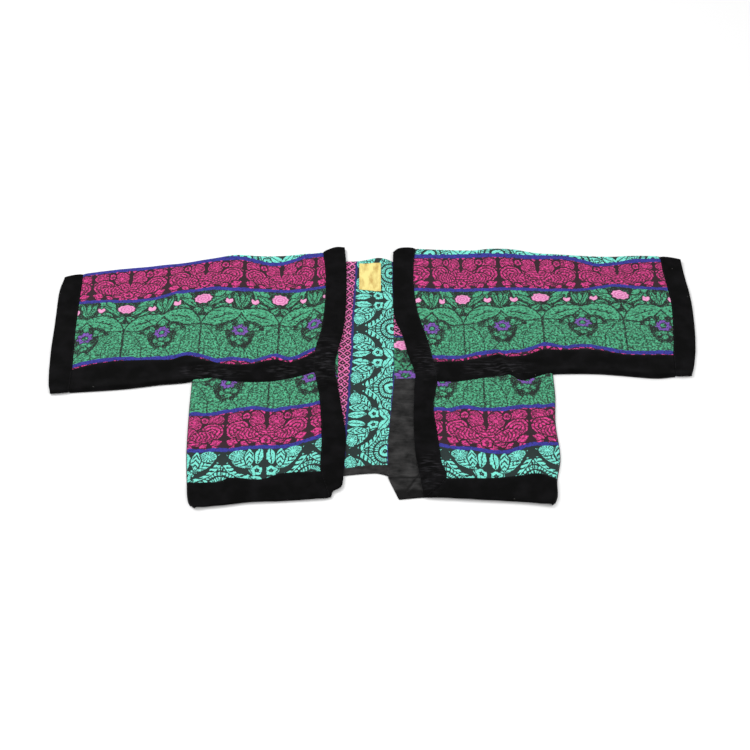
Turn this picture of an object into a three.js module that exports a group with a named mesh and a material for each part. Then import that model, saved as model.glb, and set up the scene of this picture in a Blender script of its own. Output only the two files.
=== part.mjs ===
// Tapestry kimono jacket with velvet borders, laid flat on its back with the fronts lying over it.
//
// Millimetres, +Z up. X runs from cuff to cuff and +X is the wearer's left, Y runs from hem to neck.
// The origin is under the middle of the box that the jacket fills, on the surface it lies on.
//
// Every piece of cloth is a thin closed wall. A wall is a grid of points on the cloth's inner face,
// each with the direction that points out of the garment. Pieces that meet at a seam share the grid
// line along it, and each stops half a seam gap short of that line.

import * as THREE from 'three';

// ---------------------------------------------------------------- driving sizes

const CLOTH = 1.6; // tapestry and velvet
const LABEL_CLOTH = 1.0;
const SEAM_GAP = 0.3;
const LAYER_AIR = 0.8; // between the back and the fronts lying on it
const EDGE_PUFF = 3.2; // how far folded edges stand up from lying flat
const EDGE_PUFF_REACH = 16;
const BAND_CROWN = 1.2; // roundness across a front band
const RIM_LEAN = 0.5; // share of the cloth's slope that its cut edges lean with
const FLAT_TURN = 3; // width of the turned edge where a strip lies on the body
const NECK_TURN = 34; // depth of the cut-away behind each front band at the neck

const HALF_TURN_STEPS = 4;
const QUARTER_TURN_STEPS = 2;
const STEPS = {
  sleeve: 12,
  body: 15,
  yoke: 11,
  strip: 3,
  front: 9,
  hem: 2,
  yokeBack: 3,
  band: 3,
  cuff: 3,
  centreAcross: 6,
  centreAlong: 22,
  centreHem: 1,
  backSide: 5,
  underarm: 2,
};

// Where the seam between the centre back and the wearer's left side bends.
const SEAM_BEND = { high: -29, low: -200 };

const LABEL = { left: -35, right: 14, topLeft: 302, topRight: 307, bottomLeft: 226, bottomRight: 219 };

// ---------------------------------------------------------------- small helpers

const { PI, sin, cos, exp, hypot } = Math;
const lerp = THREE.MathUtils.lerp;

// Rows of numbers under named columns.
function table(columns, rows) {
  const names = columns.split(' ');
  return rows.map((row) => Object.fromEntries(names.map((name, i) => [name, row[i]])));
}

// A smooth curve through two columns of a table, carried on straight past its ends.
function curve(rows, at, value) {
  const sorted = [...rows].sort((a, b) => a[at] - b[at]);
  const t = sorted.map((row) => row[at]);
  const v = sorted.map((row) => row[value]);
  const last = t.length - 1;
  const slope = t.map((_, k) => {
    const before = Math.max(k - 1, 0);
    const after = Math.min(k + 1, last);
    return (v[after] - v[before]) / (t[after] - t[before]);
  });
  return (s) => {
    if (s <= t[0]) return v[0] + (s - t[0]) * slope[0];
    if (s >= t[last]) return v[last] + (s - t[last]) * slope[last];
    const k = t.findIndex((stop) => s < stop) - 1;
    const h = t[k + 1] - t[k];
    const u = (s - t[k]) / h;
    const straight = (v[k + 1] - v[k]) / h;
    const a = slope[k] - straight;
    const b = straight - slope[k + 1];
    return lerp(v[k], v[k + 1], u) + h * u * (1 - u) * (a * (1 - u) + b * u);
  };
}

// Straight lines through two columns of a table, carried on past its ends.
function polyline(rows, at, value) {
  const sorted = [...rows].sort((a, b) => a[at] - b[at]);
  return (s) => {
    const k = THREE.MathUtils.clamp(sorted.findIndex((row) => s < row[at]), 1, sorted.length - 1);
    const a = sorted[k - 1];
    const b = sorted[s >= sorted.at(-1)[at] ? sorted.length - 1 : k];
    const from = s >= sorted.at(-1)[at] ? sorted.at(-2) : a;
    return lerp(from[value], b[value], (s - from[at]) / (b[at] - from[at]));
  };
}

function distanceToSegment(x, y, x0, y0, x1, y1) {
  const dx = x1 - x0;
  const dy = y1 - y0;
  const t = THREE.MathUtils.clamp(((x - x0) * dx + (y - y0) * dy) / (dx * dx + dy * dy), 0, 1);
  return hypot(x - x0 - t * dx, y - y0 - t * dy);
}

// ---------------------------------------------------------------- the lay of each side

// Each edge is a curve y(x) or x(y). The sides differ because the jacket was laid down by hand.
const RIGHT = {
  name: 'right',
  sign: -1,
  top: curve(table('x y', [
    [-664, 254], [-657, 261], [-618, 270], [-555, 282], [-447, 297], [-365, 314], [-299, 326],
    [-224, 324], [-146, 330], [-112, 337], [-84, 350], [-66, 352],
  ]), 'x', 'y'),
  stripTop: curve(table('x y', [
    [-611, -6], [-576, 5], [-522, 15], [-414, 18], [-381, 28], [-323, 9], [-245, 9], [-204, 20],
    [-170, 14], [-129, 38],
  ]), 'x', 'y'),
  stripBottom: curve(table('x y', [
    [-649, -71], [-609, -67], [-499, -57], [-429, -46], [-384, -41], [-364, -36], [-329, -29],
    [-299, -36], [-249, -39], [-199, -36], [-159, -26], [-124, -13],
  ]), 'x', 'y'),
  hemTop: curve(table('x y', [
    [-357, -299], [-295, -296], [-278, -287], [-216, -290], [-179, -276], [-105, -270],
  ]), 'x', 'y'),
  hemBottom: curve(table('x y', [
    [-340, -359], [-278, -351], [-241, -345], [-167, -341], [-84, -334],
  ]), 'x', 'y'),
  backHemTop: curve(table('x y', [[-357, -295], [-74, -275]]), 'x', 'y'),
  backHemBottom: curve(table('x y', [[-340, -352], [-167, -334], [-80, -316]]), 'x', 'y'),
  yokeBackEnd: curve(table('x y', [[-611, -6], [-367, 12], [-74, -29]]), 'x', 'y'),
  cuffEnd: curve(table('y x', [
    [262, -657], [219, -664], [129, -662], [29, -659], [-49, -652], [-71, -646],
  ]), 'y', 'x'),
  cuffSeam: curve(table('y x', [
    [271, -620], [179, -619], [79, -616], [-1, -611], [-68, -609],
  ]), 'y', 'x'),
  armpit: -36,
  side: curve(table('y x', [
    [-36, -367], [-119, -367], [-223, -364], [-307, -357], [-334, -354], [-350, -349], [-359, -340],
  ]), 'y', 'x'),
  bandOuter: curve(table('y x', [
    [339, -111], [302, -107], [262, -104], [189, -104], [103, -110], [51, -121], [17, -124],
    [-1, -124], [-29, -118], [-85, -109], [-193, -103], [-271, -103], [-334, -87],
  ]), 'y', 'x'),
  bandInner: curve(table('y x', [
    [354, -66], [318, -63], [278, -61], [179, -61], [103, -66], [42, -77], [11, -81], [-20, -80],
    [-50, -75], [-118, -65], [-186, -57], [-270, -60], [-300, -64], [-315, -71], [-334, -84],
  ]), 'y', 'x'),
  centreSeam: polyline(table('y x', [[320, -74], [-281, -74], [-320, -82]]), 'y', 'x'),
};

const LEFT = {
  name: 'left',
  sign: 1,
  top: curve(table('x y', [
    [41, 338], [52, 347], [89, 348], [137, 345], [217, 342], [255, 347], [302, 344], [350, 334],
    [397, 329], [482, 323], [563, 325], [614, 323], [656, 315], [664, 308],
  ]), 'x', 'y'),
  stripTop: curve(table('x y', [
    [121, 17], [176, 19], [241, 31], [301, 29], [351, 41], [426, 44], [501, 34], [606, 29],
  ]), 'x', 'y'),
  stripBottom: curve(table('x y', [
    [127, -37], [169, -38], [226, -27], [268, -23], [297, -35], [337, -21], [354, -18], [373, -16],
    [444, -16], [492, -20], [567, -28], [606, -24], [641, -22],
  ]), 'x', 'y'),
  hemTop: curve(table('x y', [[139, -288], [213, -288], [280, -281], [317, -278], [348, -290]]), 'x', 'y'),
  hemBottom: curve(table('x y', [[95, -333], [132, -335], [194, -339], [280, -345], [337, -352]]), 'x', 'y'),
  backHemTop: curve(table('x y', [[30, -286], [348, -284]]), 'x', 'y'),
  backHemBottom: curve(table('x y', [[46, -337], [95, -332], [194, -334], [337, -346]]), 'x', 'y'),
  yokeBackEnd: curve(table('x y', [[41, -29], [90, -27], [361, 12], [606, 29]]), 'x', 'y'),
  cuffEnd: curve(table('y x', [
    [317, 656], [261, 660], [190, 664], [119, 662], [48, 655], [-2, 645], [-22, 638],
  ]), 'y', 'x'),
  cuffSeam: curve(table('y x', [
    [323, 613], [261, 617], [190, 622], [142, 620], [76, 614], [29, 608], [-23, 606],
  ]), 'y', 'x'),
  armpit: -18,
  side: curve(table('y x', [
    [-18, 360], [-75, 360.5], [-149, 356], [-235, 359], [-292, 349], [-329, 347], [-345, 342], [-352, 337],
  ]), 'y', 'x'),
  bandOuter: curve(table('y x', [
    [350, 89], [318, 85], [272, 83], [232, 83], [158, 90], [72, 110], [11, 121], [-17, 126],
    [-38, 126], [-105, 117], [-174, 123], [-248, 129], [-288, 137], [-333, 101],
  ]), 'y', 'x'),
  bandInner: curve(table('y x', [
    [345, 44], [333, 41], [278, 41], [207, 42], [140, 47], [88, 60], [32, 70], [-17, 83], [-50, 81],
    [-149, 78], [-223, 80], [-263, 85], [-333, 95],
  ]), 'y', 'x'),
  centreSeam: polyline(table('y x', [
    [311, 40], [SEAM_BEND.high, 40], [SEAM_BEND.low, 26], [-286, 26], [-337, 46],
  ]), 'y', 'x'),
};

const SIDES = [RIGHT, LEFT];

const CENTRE_NECK = curve(table('x y', [
  [-74, 312], [-39, 312], [-19, 316], [1, 322], [11, 323], [26, 319], [39, 311],
]), 'x', 'y');
const CENTRE_END = curve(table('x y', [[-74, -264], [-20, -256], [1, -253], [26, -253]]), 'x', 'y');
const CENTRE_HEM = curve(table('x y', [
  [-74, -282], [-44, -277], [1, -273], [16, -276], [28, -281],
]), 'x', 'y');

// ---------------------------------------------------------------- folds

// Soft ridges: where each runs, how high it stands and how wide it is from crest to foot.
const FRONT_FOLDS = table('x0 y0 x1 y1 height width', [
  [206, 115, 250, 30, 4, 10], // long crease from the left chest over the strip to the hip
  [250, 30, 276, -36, 5, 10],
  [276, -36, 321, -95, 4, 11],
  [352, 92, 548, 90, 3.6, 15], // roll along the left sleeve above the strip
  [236, 332, 300, 330, 2.6, 18], // humps along the left shoulder, and the dip beside them
  [385, 312, 440, 300, 2.2, 18],
  [545, 306, 606, 308, 3, 18],
  [182, -60, 186, -280, 2, 24], // falls of the left front
  [304, -110, 306, -270, 2.4, 24],
  [-300, 318, -276, 236, 3.8, 22], // falls from the right shoulder
  [-150, 318, -170, 262, 2.8, 18],
  [-446, 282, -420, 120, 2, 26],
  [-572, 250, -560, 120, 2, 26],
  [-394, 8, -332, 12, 2.6, 9], // creases of the right strip
  [-230, 10, -160, 30, 2.4, 12],
  [-236, -112, -168, -119, 3.6, 13], // roll over the right front's upper stripe
  [-352, -62, -356, -240, 2, 20],
  [-150, -150, -130, -250, 2, 20],
  [-122, 68, -84, 64, 2.8, 7], // crumple of the right band
  [-124, 10, -86, -8, 3, 8],
  [-116, -28, -82, -46, 2.6, 8],
]);
const BACK_FOLDS = table('x0 y0 x1 y1 height width', [
  [-20, 180, 6, -60, 1.4, 18],
  [30, -104, 80, -106, 1.6, 9],
  [28, -206, 84, -196, 2, 10],
  [32, -286, 90, -290, 1.6, 8],
]);

// Where folds meet, the higher one wins softly.
function ridges(folds, x, y) {
  const softness = 4;
  const sum = folds.reduce((total, fold) => {
    const d = distanceToSegment(x, y, fold.x0, fold.y0, fold.x1, fold.y1) / fold.width;
    return total + (fold.height * exp(-d * d)) ** softness;
  }, 0);
  return sum ** (1 / softness);
}

// The folded and seamed rim of each side: shoulder, underarm and side seam.
function rimOf(side) {
  const step = 20;
  const points = [];
  for (let x = side.cuffSeam(200); side.sign * x > 60; x -= side.sign * step) points.push([x, side.top(x)]);
  points.reverse();
  const cuff = side.cuffEnd(side.top(side.cuffSeam(200)));
  points.push([cuff, side.top(cuff)]);
  const under = [];
  for (let k = 0; k <= 12; k += 1) {
    const x = lerp(side.cuffEnd(side.stripBottom(cuff)), side.side(side.armpit), k / 12);
    under.push([x, side.stripBottom(x)]);
  }
  const flank = [];
  for (let k = 1; k <= 12; k += 1) {
    const y = lerp(side.armpit, side.hemBottom(side.side(-330)), k / 12);
    flank.push([side.side(y), y]);
  }
  return [points, [...under, ...flank]];
}

const RIMS = SIDES.flatMap(rimOf);

function edgePuff(x, y) {
  let nearest = Infinity;
  for (const rim of RIMS) {
    for (let k = 1; k < rim.length; k += 1) {
      nearest = Math.min(nearest, distanceToSegment(x, y, ...rim[k - 1], ...rim[k]));
    }
  }
  const d = nearest / EDGE_PUFF_REACH;
  return EDGE_PUFF * exp(-d * d);
}

const backHeight = (x, y) => CLOTH + ridges(BACK_FOLDS, x, y);
const frontHeight = (x, y) => backHeight(x, y) + LAYER_AIR + ridges(FRONT_FOLDS, x, y) + edgePuff(x, y);

// ---------------------------------------------------------------- points on the cloth

// A point of the cloth's inner face, and the way out of the garment there.
const point = (x, y, z, nx, ny, nz) => ({
  inner: new THREE.Vector3(x, y, z),
  out: new THREE.Vector3(nx, ny, nz).normalize(),
});

function onHeight(height, x, y, facing) {
  const reach = 2 / RIM_LEAN; // over this distance a slope counts for its rim's lean
  const slopeX = (RIM_LEAN * (height(x + reach, y) - height(x - reach, y))) / (2 * reach);
  const slopeY = (RIM_LEAN * (height(x, y + reach) - height(x, y - reach))) / (2 * reach);
  return point(x, y, height(x, y), -slopeX * facing, -slopeY * facing, facing);
}

const onFront = (x, y) => onHeight(frontHeight, x, y, 1);
const onBack = (x, y) => onHeight(backHeight, x, y, -1);

const moved = (at, dx, dy) => ({ inner: at.inner.clone().add(new THREE.Vector3(dx, dy, 0)), out: at.out });

// Where a grid line across the cloth, x(y), meets one along it, y(x).
function crossing(xOfY, yOfX, start) {
  let x = start;
  for (let k = 0; k < 8; k += 1) x = xOfY(yOfX(x));
  return { x, y: yOfX(x) };
}

// Columns count from the cuff: the sleeve's, then the body's, up to the front band.
const COLUMNS = STEPS.sleeve + STEPS.body;

const flankX = (side, y) => side.side(Math.min(y, side.armpit));

function columnX(side, column, innerEdge) {
  return (y) => {
    if (column <= STEPS.sleeve) {
      return lerp(side.cuffSeam(y), flankX(side, y), column / STEPS.sleeve);
    }
    return lerp(flankX(side, y), innerEdge(y), (column - STEPS.sleeve) / STEPS.body);
  };
}

const frontColumn = (side, column) => columnX(side, column, side.bandOuter);
const bandColumn = (side, share) => (y) => lerp(side.bandOuter(y), side.bandInner(y), share);

// ---------------------------------------------------------------- edges that turn over

// The shoulder fold at x: where it starts on the front, and the radius inside it.
function shoulderFold(side, x) {
  const near = 5;
  const radius = (frontHeight(x, side.top(x) - near) - CLOTH) / 2;
  const start = side.top(x) - radius - CLOTH;
  return { start, radius: (frontHeight(x, start) - CLOTH) / 2 };
}

// A half turn in the YZ plane from the front layer to the back layer, towards +Y or -Y.
function halfTurn(x, y, radius, towards) {
  const middle = CLOTH + radius;
  const around = [];
  for (let k = 1; k <= HALF_TURN_STEPS; k += 1) {
    const a = (PI * k) / HALF_TURN_STEPS;
    const out = towards * sin(a);
    around.push(point(x, y + radius * out, middle + radius * cos(a), 0, out, cos(a)));
  }
  return around;
}

// Radius inside the quarter turn that takes the front down to the back at a seamed rim.
const rimRadius = (x, y) => frontHeight(x, y) - CLOTH - SEAM_GAP;

// ---------------------------------------------------------------- rows shared by the front pieces

const shares = (count) => Array.from({ length: count + 1 }, (_, k) => k / count);

const hemRows = (side) =>
  shares(STEPS.hem).map((v) => (x) => lerp(side.hemBottom(x), side.hemTop(x), v));
const frontRows = (side) =>
  shares(STEPS.front).map((v) => (x) => lerp(side.hemTop(x), side.stripBottom(x), v));
const turnRows = (side) =>
  shares(QUARTER_TURN_STEPS).map((v) => (x) => side.stripBottom(x) + FLAT_TURN * v);
const stripRows = (side) =>
  shares(STEPS.strip).map((v) => (x) => lerp(side.stripBottom(x) + FLAT_TURN, side.stripTop(x), v));
const yokeRows = (side) =>
  shares(STEPS.yoke).map((v) => (x) => lerp(side.stripTop(x), shoulderFold(side, x).start, v));

// ---------------------------------------------------------------- walls

// Closes a grid of points into a wall. A looped grid's last row joins its first.
function wall(rows, thickness, looped = false) {
  const across = rows[0].length;
  const positions = [];
  for (const face of [0, thickness]) {
    for (const row of rows) {
      for (const at of row) positions.push(...at.inner.clone().addScaledVector(at.out, face).toArray());
    }
  }
  const outer = rows.length * across;
  const id = (face, row, column) => face * outer + (row % rows.length) * across + column;
  const index = [];
  const quad = (a, b, c, d) => index.push(a, b, c, a, c, d);
  const rowCount = looped ? rows.length : rows.length - 1;
  for (let r = 0; r < rowCount; r += 1) {
    for (let c = 0; c < across - 1; c += 1) {
      quad(id(1, r, c), id(1, r, c + 1), id(1, r + 1, c + 1), id(1, r + 1, c));
      quad(id(0, r, c), id(0, r + 1, c), id(0, r + 1, c + 1), id(0, r, c + 1));
    }
    quad(id(0, r, 0), id(1, r, 0), id(1, r + 1, 0), id(0, r + 1, 0));
    quad(id(1, r, across - 1), id(0, r, across - 1), id(0, r + 1, across - 1), id(1, r + 1, across - 1));
  }
  if (!looped) {
    const end = rows.length - 1;
    for (let c = 0; c < across - 1; c += 1) {
      quad(id(0, 0, c), id(0, 0, c + 1), id(1, 0, c + 1), id(1, 0, c));
      quad(id(1, end, c), id(1, end, c + 1), id(0, end, c + 1), id(0, end, c));
    }
  }
  const corner = (k) => new THREE.Vector3().fromArray(positions, index[k] * 3);
  let volume = 0;
  for (let k = 0; k < index.length; k += 3) volume += corner(k).dot(corner(k + 1).cross(corner(k + 2)));
  if (volume < 0) index.reverse();
  const geometry = new THREE.BufferGeometry();
  geometry.setAttribute('position', new THREE.Float32BufferAttribute(positions, 3));
  geometry.setIndex(index);
  geometry.computeVertexNormals();
  return geometry;
}

// ---------------------------------------------------------------- the pieces

const half = SEAM_GAP / 2;

// Sleeve, shoulder and upper back in one: up the front, over the shoulder and down the back.
function yokeSleeve(side) {
  const columns = [];
  const backInner = (y) => {
    const top = shoulderFold(side, side.bandOuter(side.top(side.bandOuter(330)))).start;
    const share = THREE.MathUtils.clamp((top - y) / NECK_TURN, 0, 1);
    return lerp(side.bandOuter(top), side.centreSeam(y), share);
  };
  for (let column = 0; column <= COLUMNS; column += 1) {
    const inset = column === 0 ? -side.sign * half : column === COLUMNS ? side.sign * half : 0;
    const start = frontColumn(side, column)(150);
    const cells = yokeRows(side).map((row, k) => {
      const at = crossing(frontColumn(side, column), row, start);
      return moved(onFront(at.x, at.y), inset, k === 0 ? half : 0);
    });
    const top = crossing(frontColumn(side, column), (x) => shoulderFold(side, x).start, start);
    const { radius } = shoulderFold(side, top.x);
    cells.push(...halfTurn(top.x, top.y, radius, 1).map((at) => moved(at, inset, 0)));
    const backX = columnX(side, column, backInner);
    for (const share of shares(STEPS.yokeBack)) {
      const row = (x) => lerp(top.y - NECK_TURN, side.yokeBackEnd(x), share);
      const at = crossing(backX, row, start);
      cells.push(moved(onBack(at.x, at.y), inset, share === 1 ? half : 0));
    }
    columns.push(cells);
  }
  return wall(columns, CLOTH);
}

// Velvet strip under the sleeve and across the front, turned down at the underarm.
function underarmFront(side) {
  const columns = [];
  for (let column = 0; column <= COLUMNS; column += 1) {
    const inset = column === 0 ? -side.sign * half : column === COLUMNS ? side.sign * half : 0;
    const columnAt = frontColumn(side, column);
    const start = columnAt(0);
    const place = (row, dy) => {
      const at = crossing(columnAt, row, start);
      return moved(onFront(at.x, at.y), inset, dy);
    };
    const cells = [];
    if (column > STEPS.sleeve) {
      turnRows(side).slice(0, -1).forEach((row, k) => cells.push(place(row, k === 0 ? half : 0)));
      cells.push(...stripRows(side).map((row, k) => place(row, k === STEPS.strip ? -half : 0)));
    } else {
      const edge = crossing(columnAt, side.stripBottom, start);
      const radius = rimRadius(edge.x, edge.y + EDGE_PUFF);
      const flatY = edge.y + CLOTH + radius;
      const height = frontHeight(edge.x, flatY);
      for (let k = QUARTER_TURN_STEPS; k >= 1; k -= 1) {
        const a = (PI / 2) * (k / QUARTER_TURN_STEPS);
        const z = height - (height - CLOTH - SEAM_GAP) * (1 - cos(a));
        cells.push(moved(point(edge.x, flatY - radius * sin(a), z, 0, -sin(a), cos(a)), inset, SEAM_GAP));
      }
      for (const share of shares(STEPS.strip)) {
        cells.push(place((x) => lerp(flatY, side.stripTop(x), share), share === 1 ? -half : 0));
      }
    }
    columns.push(cells);
  }
  return wall(columns, CLOTH);
}

// Back half of the underarm strip, from the cuff to the side seam.
function underarmBack(side) {
  const columns = [];
  for (let column = 0; column <= STEPS.sleeve; column += 1) {
    const inset = column === 0 ? -side.sign * half : column === STEPS.sleeve ? side.sign * half : 0;
    const columnAt = frontColumn(side, column);
    columns.push(shares(STEPS.underarm).map((share) => {
      const row = (x) => lerp(side.stripBottom(x) + half, side.yokeBackEnd(x) - half, share);
      const at = crossing(columnAt, row, columnAt(0));
      return moved(onBack(at.x, at.y), inset, 0);
    }));
  }
  return wall(columns, CLOTH);
}

// Velvet cuff: a flattened ring at the sleeve's end.
function cuff(side) {
  const columns = shares(STEPS.cuff).map((share) => {
    const columnAt = (y) => lerp(side.cuffEnd(y), side.cuffSeam(y), share);
    const start = columnAt(150);
    const inset = share === 1 ? side.sign * half : 0;
    const top = crossing(columnAt, (x) => shoulderFold(side, x).start, start);
    const low = crossing(columnAt, side.stripBottom, start);
    const lowRadius = (frontHeight(low.x, low.y + EDGE_PUFF) - CLOTH) / 2;
    const lowY = low.y + lowRadius + CLOTH;
    const front = [
      ...shares(STEPS.strip).map((v) => (x) => lerp(lowY, side.stripTop(x), v)),
      ...shares(STEPS.yoke).slice(1).map((v) => (x) => lerp(side.stripTop(x), top.y, v)),
    ];
    const underarm = shares(STEPS.underarm).slice(1, -1);
    const back = [
      ...shares(STEPS.yokeBack).map((v) => (x) => lerp(top.y - NECK_TURN, side.yokeBackEnd(x), v)),
      ...underarm.map((v) => (x) => lerp(side.yokeBackEnd(x), side.stripBottom(x), v)),
    ];
    const ring = front.map((row) => {
      const at = crossing(columnAt, row, start);
      return onFront(at.x, at.y);
    });
    ring.push(...halfTurn(top.x, top.y, shoulderFold(side, top.x).radius, 1));
    ring.push(...back.map((row) => {
      const at = crossing(columnAt, row, start);
      return onBack(at.x, at.y);
    }));
    const lowX = columnAt(lowY);
    const turn = halfTurn(lowX, lowY, (frontHeight(lowX, lowY) - CLOTH) / 2, -1).reverse();
    ring.push(...turn);
    return ring.map((at) => moved(at, inset, 0));
  });
  const rows = columns[0].map((_, k) => columns.map((column) => column[k]));
  return wall(rows, CLOTH, true);
}

// Columns of a front's body piece: the quarter turn at the side seam, then the shared columns.
function bodyColumns(side, rows, lowJoin) {
  const seamShift = (k) => {
    if (k === rows.length - 1) return -half;
    return k === 0 && lowJoin ? half : 0;
  };
  const cellsOf = (column, inset) => rows.map((row, k) => {
    const columnAt = frontColumn(side, column);
    const at = crossing(columnAt, row, columnAt(-150));
    return moved(onFront(at.x, at.y), inset, seamShift(k));
  });
  const turned = (a) => rows.map((row, k) => {
    const edgeAt = (y) => flankX(side, y);
    const edge = crossing(edgeAt, row, edgeAt(-150));
    const next = crossing(frontColumn(side, STEPS.sleeve + 1), row, edge.x);
    const radius = rimRadius(edge.x - side.sign * EDGE_PUFF, edge.y);
    const flatX = edge.x - side.sign * (radius + CLOTH);
    const x = flatX + side.sign * radius * sin(a);
    const y = lerp(edge.y, next.y, (x - edge.x) / (next.x - edge.x));
    const height = frontHeight(flatX, y);
    const z = height - (height - CLOTH - SEAM_GAP) * (1 - cos(a));
    return moved(point(x, y, z, side.sign * sin(a), 0, cos(a)), 0, seamShift(k));
  });
  const columns = [];
  for (let k = QUARTER_TURN_STEPS; k >= 0; k -= 1) columns.push(turned((PI / 2) * (k / QUARTER_TURN_STEPS)));
  for (let column = STEPS.sleeve + 1; column <= COLUMNS; column += 1) {
    columns.push(cellsOf(column, column === COLUMNS ? side.sign * half : 0));
  }
  return columns;
}

const frontBody = (side) => wall(bodyColumns(side, frontRows(side), true), CLOTH);
const frontHem = (side) => wall(bodyColumns(side, hemRows(side), false), CLOTH);

// Velvet band down the front opening, from the mitre at the hem to over the shoulder.
function frontBand(side) {
  const rows = [
    ...hemRows(side),
    ...frontRows(side).slice(1),
    ...turnRows(side).slice(1),
    ...stripRows(side).slice(1),
    ...yokeRows(side).slice(1),
  ];
  const columns = shares(STEPS.band).map((share) => {
    const columnAt = bandColumn(side, share);
    const inset = share === 0 ? -side.sign * half : 0;
    const crown = BAND_CROWN * sin(PI * share);
    const cells = rows.map((row) => {
      const at = crossing(columnAt, row, columnAt(0));
      const cell = moved(onFront(at.x, at.y), inset, 0);
      cell.inner.z += crown;
      return cell;
    });
    const top = crossing(columnAt, (x) => shoulderFold(side, x).start, columnAt(300));
    const { radius } = shoulderFold(side, top.x);
    cells.push(...halfTurn(top.x, top.y, radius + crown / 2, 1).map((at) => moved(at, inset, 0)));
    return cells;
  });
  return wall(columns, CLOTH);
}

// Even shares of the way from low to high, with a row at each bend between them as well.
function sharesWithBends(low, high, count) {
  const bends = Object.values(SEAM_BEND).map((y) => (y - low) / (high - low));
  const within = bends.filter((v) => v > 0.01 && v < 0.99);
  const even = shares(count).filter((v) => within.every((bend) => Math.abs(v - bend) > 0.3 / count));
  return [...even, ...within].sort((a, b) => a - b);
}

// Flat pieces of the back between two edges x(y) and two edges y(x).
function backPanel(outerX, innerX, lowY, highY, across, along) {
  const low = lowY(LEFT.centreSeam(SEAM_BEND.low));
  const high = highY(LEFT.centreSeam(SEAM_BEND.high));
  return shares(across).map((u) => {
    const columnAt = (y) => lerp(outerX(y), innerX(y), u);
    return sharesWithBends(low, high, along).map((v) => {
      const at = crossing(columnAt, (x) => lerp(lowY(x), highY(x), v), columnAt(-100));
      return onBack(at.x, at.y);
    });
  });
}

const shifted = (edge, by) => (t) => edge(t) + by;

function backSide(side) {
  return wall(backPanel(
    shifted((y) => flankX(side, y), -side.sign * 2 * half),
    shifted(side.centreSeam, side.sign * half),
    shifted(side.backHemTop, half),
    shifted(side.yokeBackEnd, -half),
    STEPS.body, STEPS.backSide,
  ), CLOTH);
}

function backHem(side) {
  return wall(backPanel(
    shifted((y) => flankX(side, y), -side.sign * 2 * half),
    shifted(side.centreSeam, side.sign * half),
    side.backHemBottom,
    shifted(side.backHemTop, -half),
    STEPS.body, STEPS.hem,
  ), CLOTH);
}

const backCentre = () => wall(backPanel(
  shifted(RIGHT.centreSeam, half), shifted(LEFT.centreSeam, -half),
  shifted(CENTRE_END, half), CENTRE_NECK, STEPS.centreAcross, STEPS.centreAlong,
), CLOTH);

const backHemCentre = () => wall(backPanel(
  shifted(RIGHT.centreSeam, half), shifted(LEFT.centreSeam, -half),
  CENTRE_HEM, shifted(CENTRE_END, -half), STEPS.centreAcross, STEPS.centreHem,
), CLOTH);

// Blank satin label on the inside of the back, below the neck.
function label() {
  const acrossSteps = 3;
  const alongSteps = 5;
  const lie = (x, y) => backHeight(x, y) + SEAM_GAP;
  return wall(shares(acrossSteps).map((u) => shares(alongSteps).map((v) => {
    const x = lerp(LABEL.left, LABEL.right, u);
    const top = lerp(LABEL.topLeft, LABEL.topRight, u);
    const bottom = lerp(LABEL.bottomLeft, LABEL.bottomRight, u);
    return onHeight(lie, x, lerp(bottom, top, v), 1);
  })), LABEL_CLOTH);
}

// ---------------------------------------------------------------- the jacket

const finish = (color, roughness) => new THREE.MeshStandardMaterial({ color, roughness, metalness: 0 });

const FINISHES = {
  tapestry: finish(0x3f9168, 0.9),
  wrongSide: finish(0x6fdcc8, 0.9),
  velvet: finish(0x0e0e0e, 0.95),
  velvetBack: finish(0x3a3838, 0.95),
  satin: finish(0xf0e080, 0.5),
};

const TO_MIDDLE = new THREE.Vector3(0.1, 3.3, 0); // brings the middle of the jacket's box over the origin

const jacket = new THREE.Group();
jacket.name = 'tapestry_jacket';
jacket.position.copy(TO_MIDDLE);

function sew(name, geometry, material) {
  const mesh = new THREE.Mesh(geometry, material);
  mesh.name = name;
  jacket.add(mesh);
}

for (const side of SIDES) {
  sew(`yoke_sleeve_${side.name}`, yokeSleeve(side), FINISHES.tapestry);
  sew(`cuff_${side.name}`, cuff(side), FINISHES.velvet);
  sew(`underarm_front_${side.name}`, underarmFront(side), FINISHES.velvet);
  sew(`underarm_back_${side.name}`, underarmBack(side), FINISHES.velvet);
  sew(`front_${side.name}`, frontBody(side), FINISHES.tapestry);
  sew(`front_hem_${side.name}`, frontHem(side), FINISHES.velvet);
  sew(`front_band_${side.name}`, frontBand(side), FINISHES.velvet);
  sew(`back_side_${side.name}`, backSide(side), FINISHES.velvetBack);
  sew(`back_hem_${side.name}`, backHem(side), FINISHES.velvetBack);
}
sew('back_centre', backCentre(), FINISHES.wrongSide);
sew('back_hem_centre', backHemCentre(), FINISHES.velvetBack);
sew('label', label(), FINISHES.satin);

export default jacket;
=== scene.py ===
"""Tapestry kimono jacket with velvet borders, laid flat on its back on a pale floor.

The cutting tables are in millimetres: X runs from cuff to cuff with +X the wearer's left, Y from hem to
neck and Z up from the floor. Meshes are made in metres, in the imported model's frame.
"""

import logging
import math
from collections.abc import Callable, Sequence
from dataclasses import dataclass, field
from enum import Enum

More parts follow.
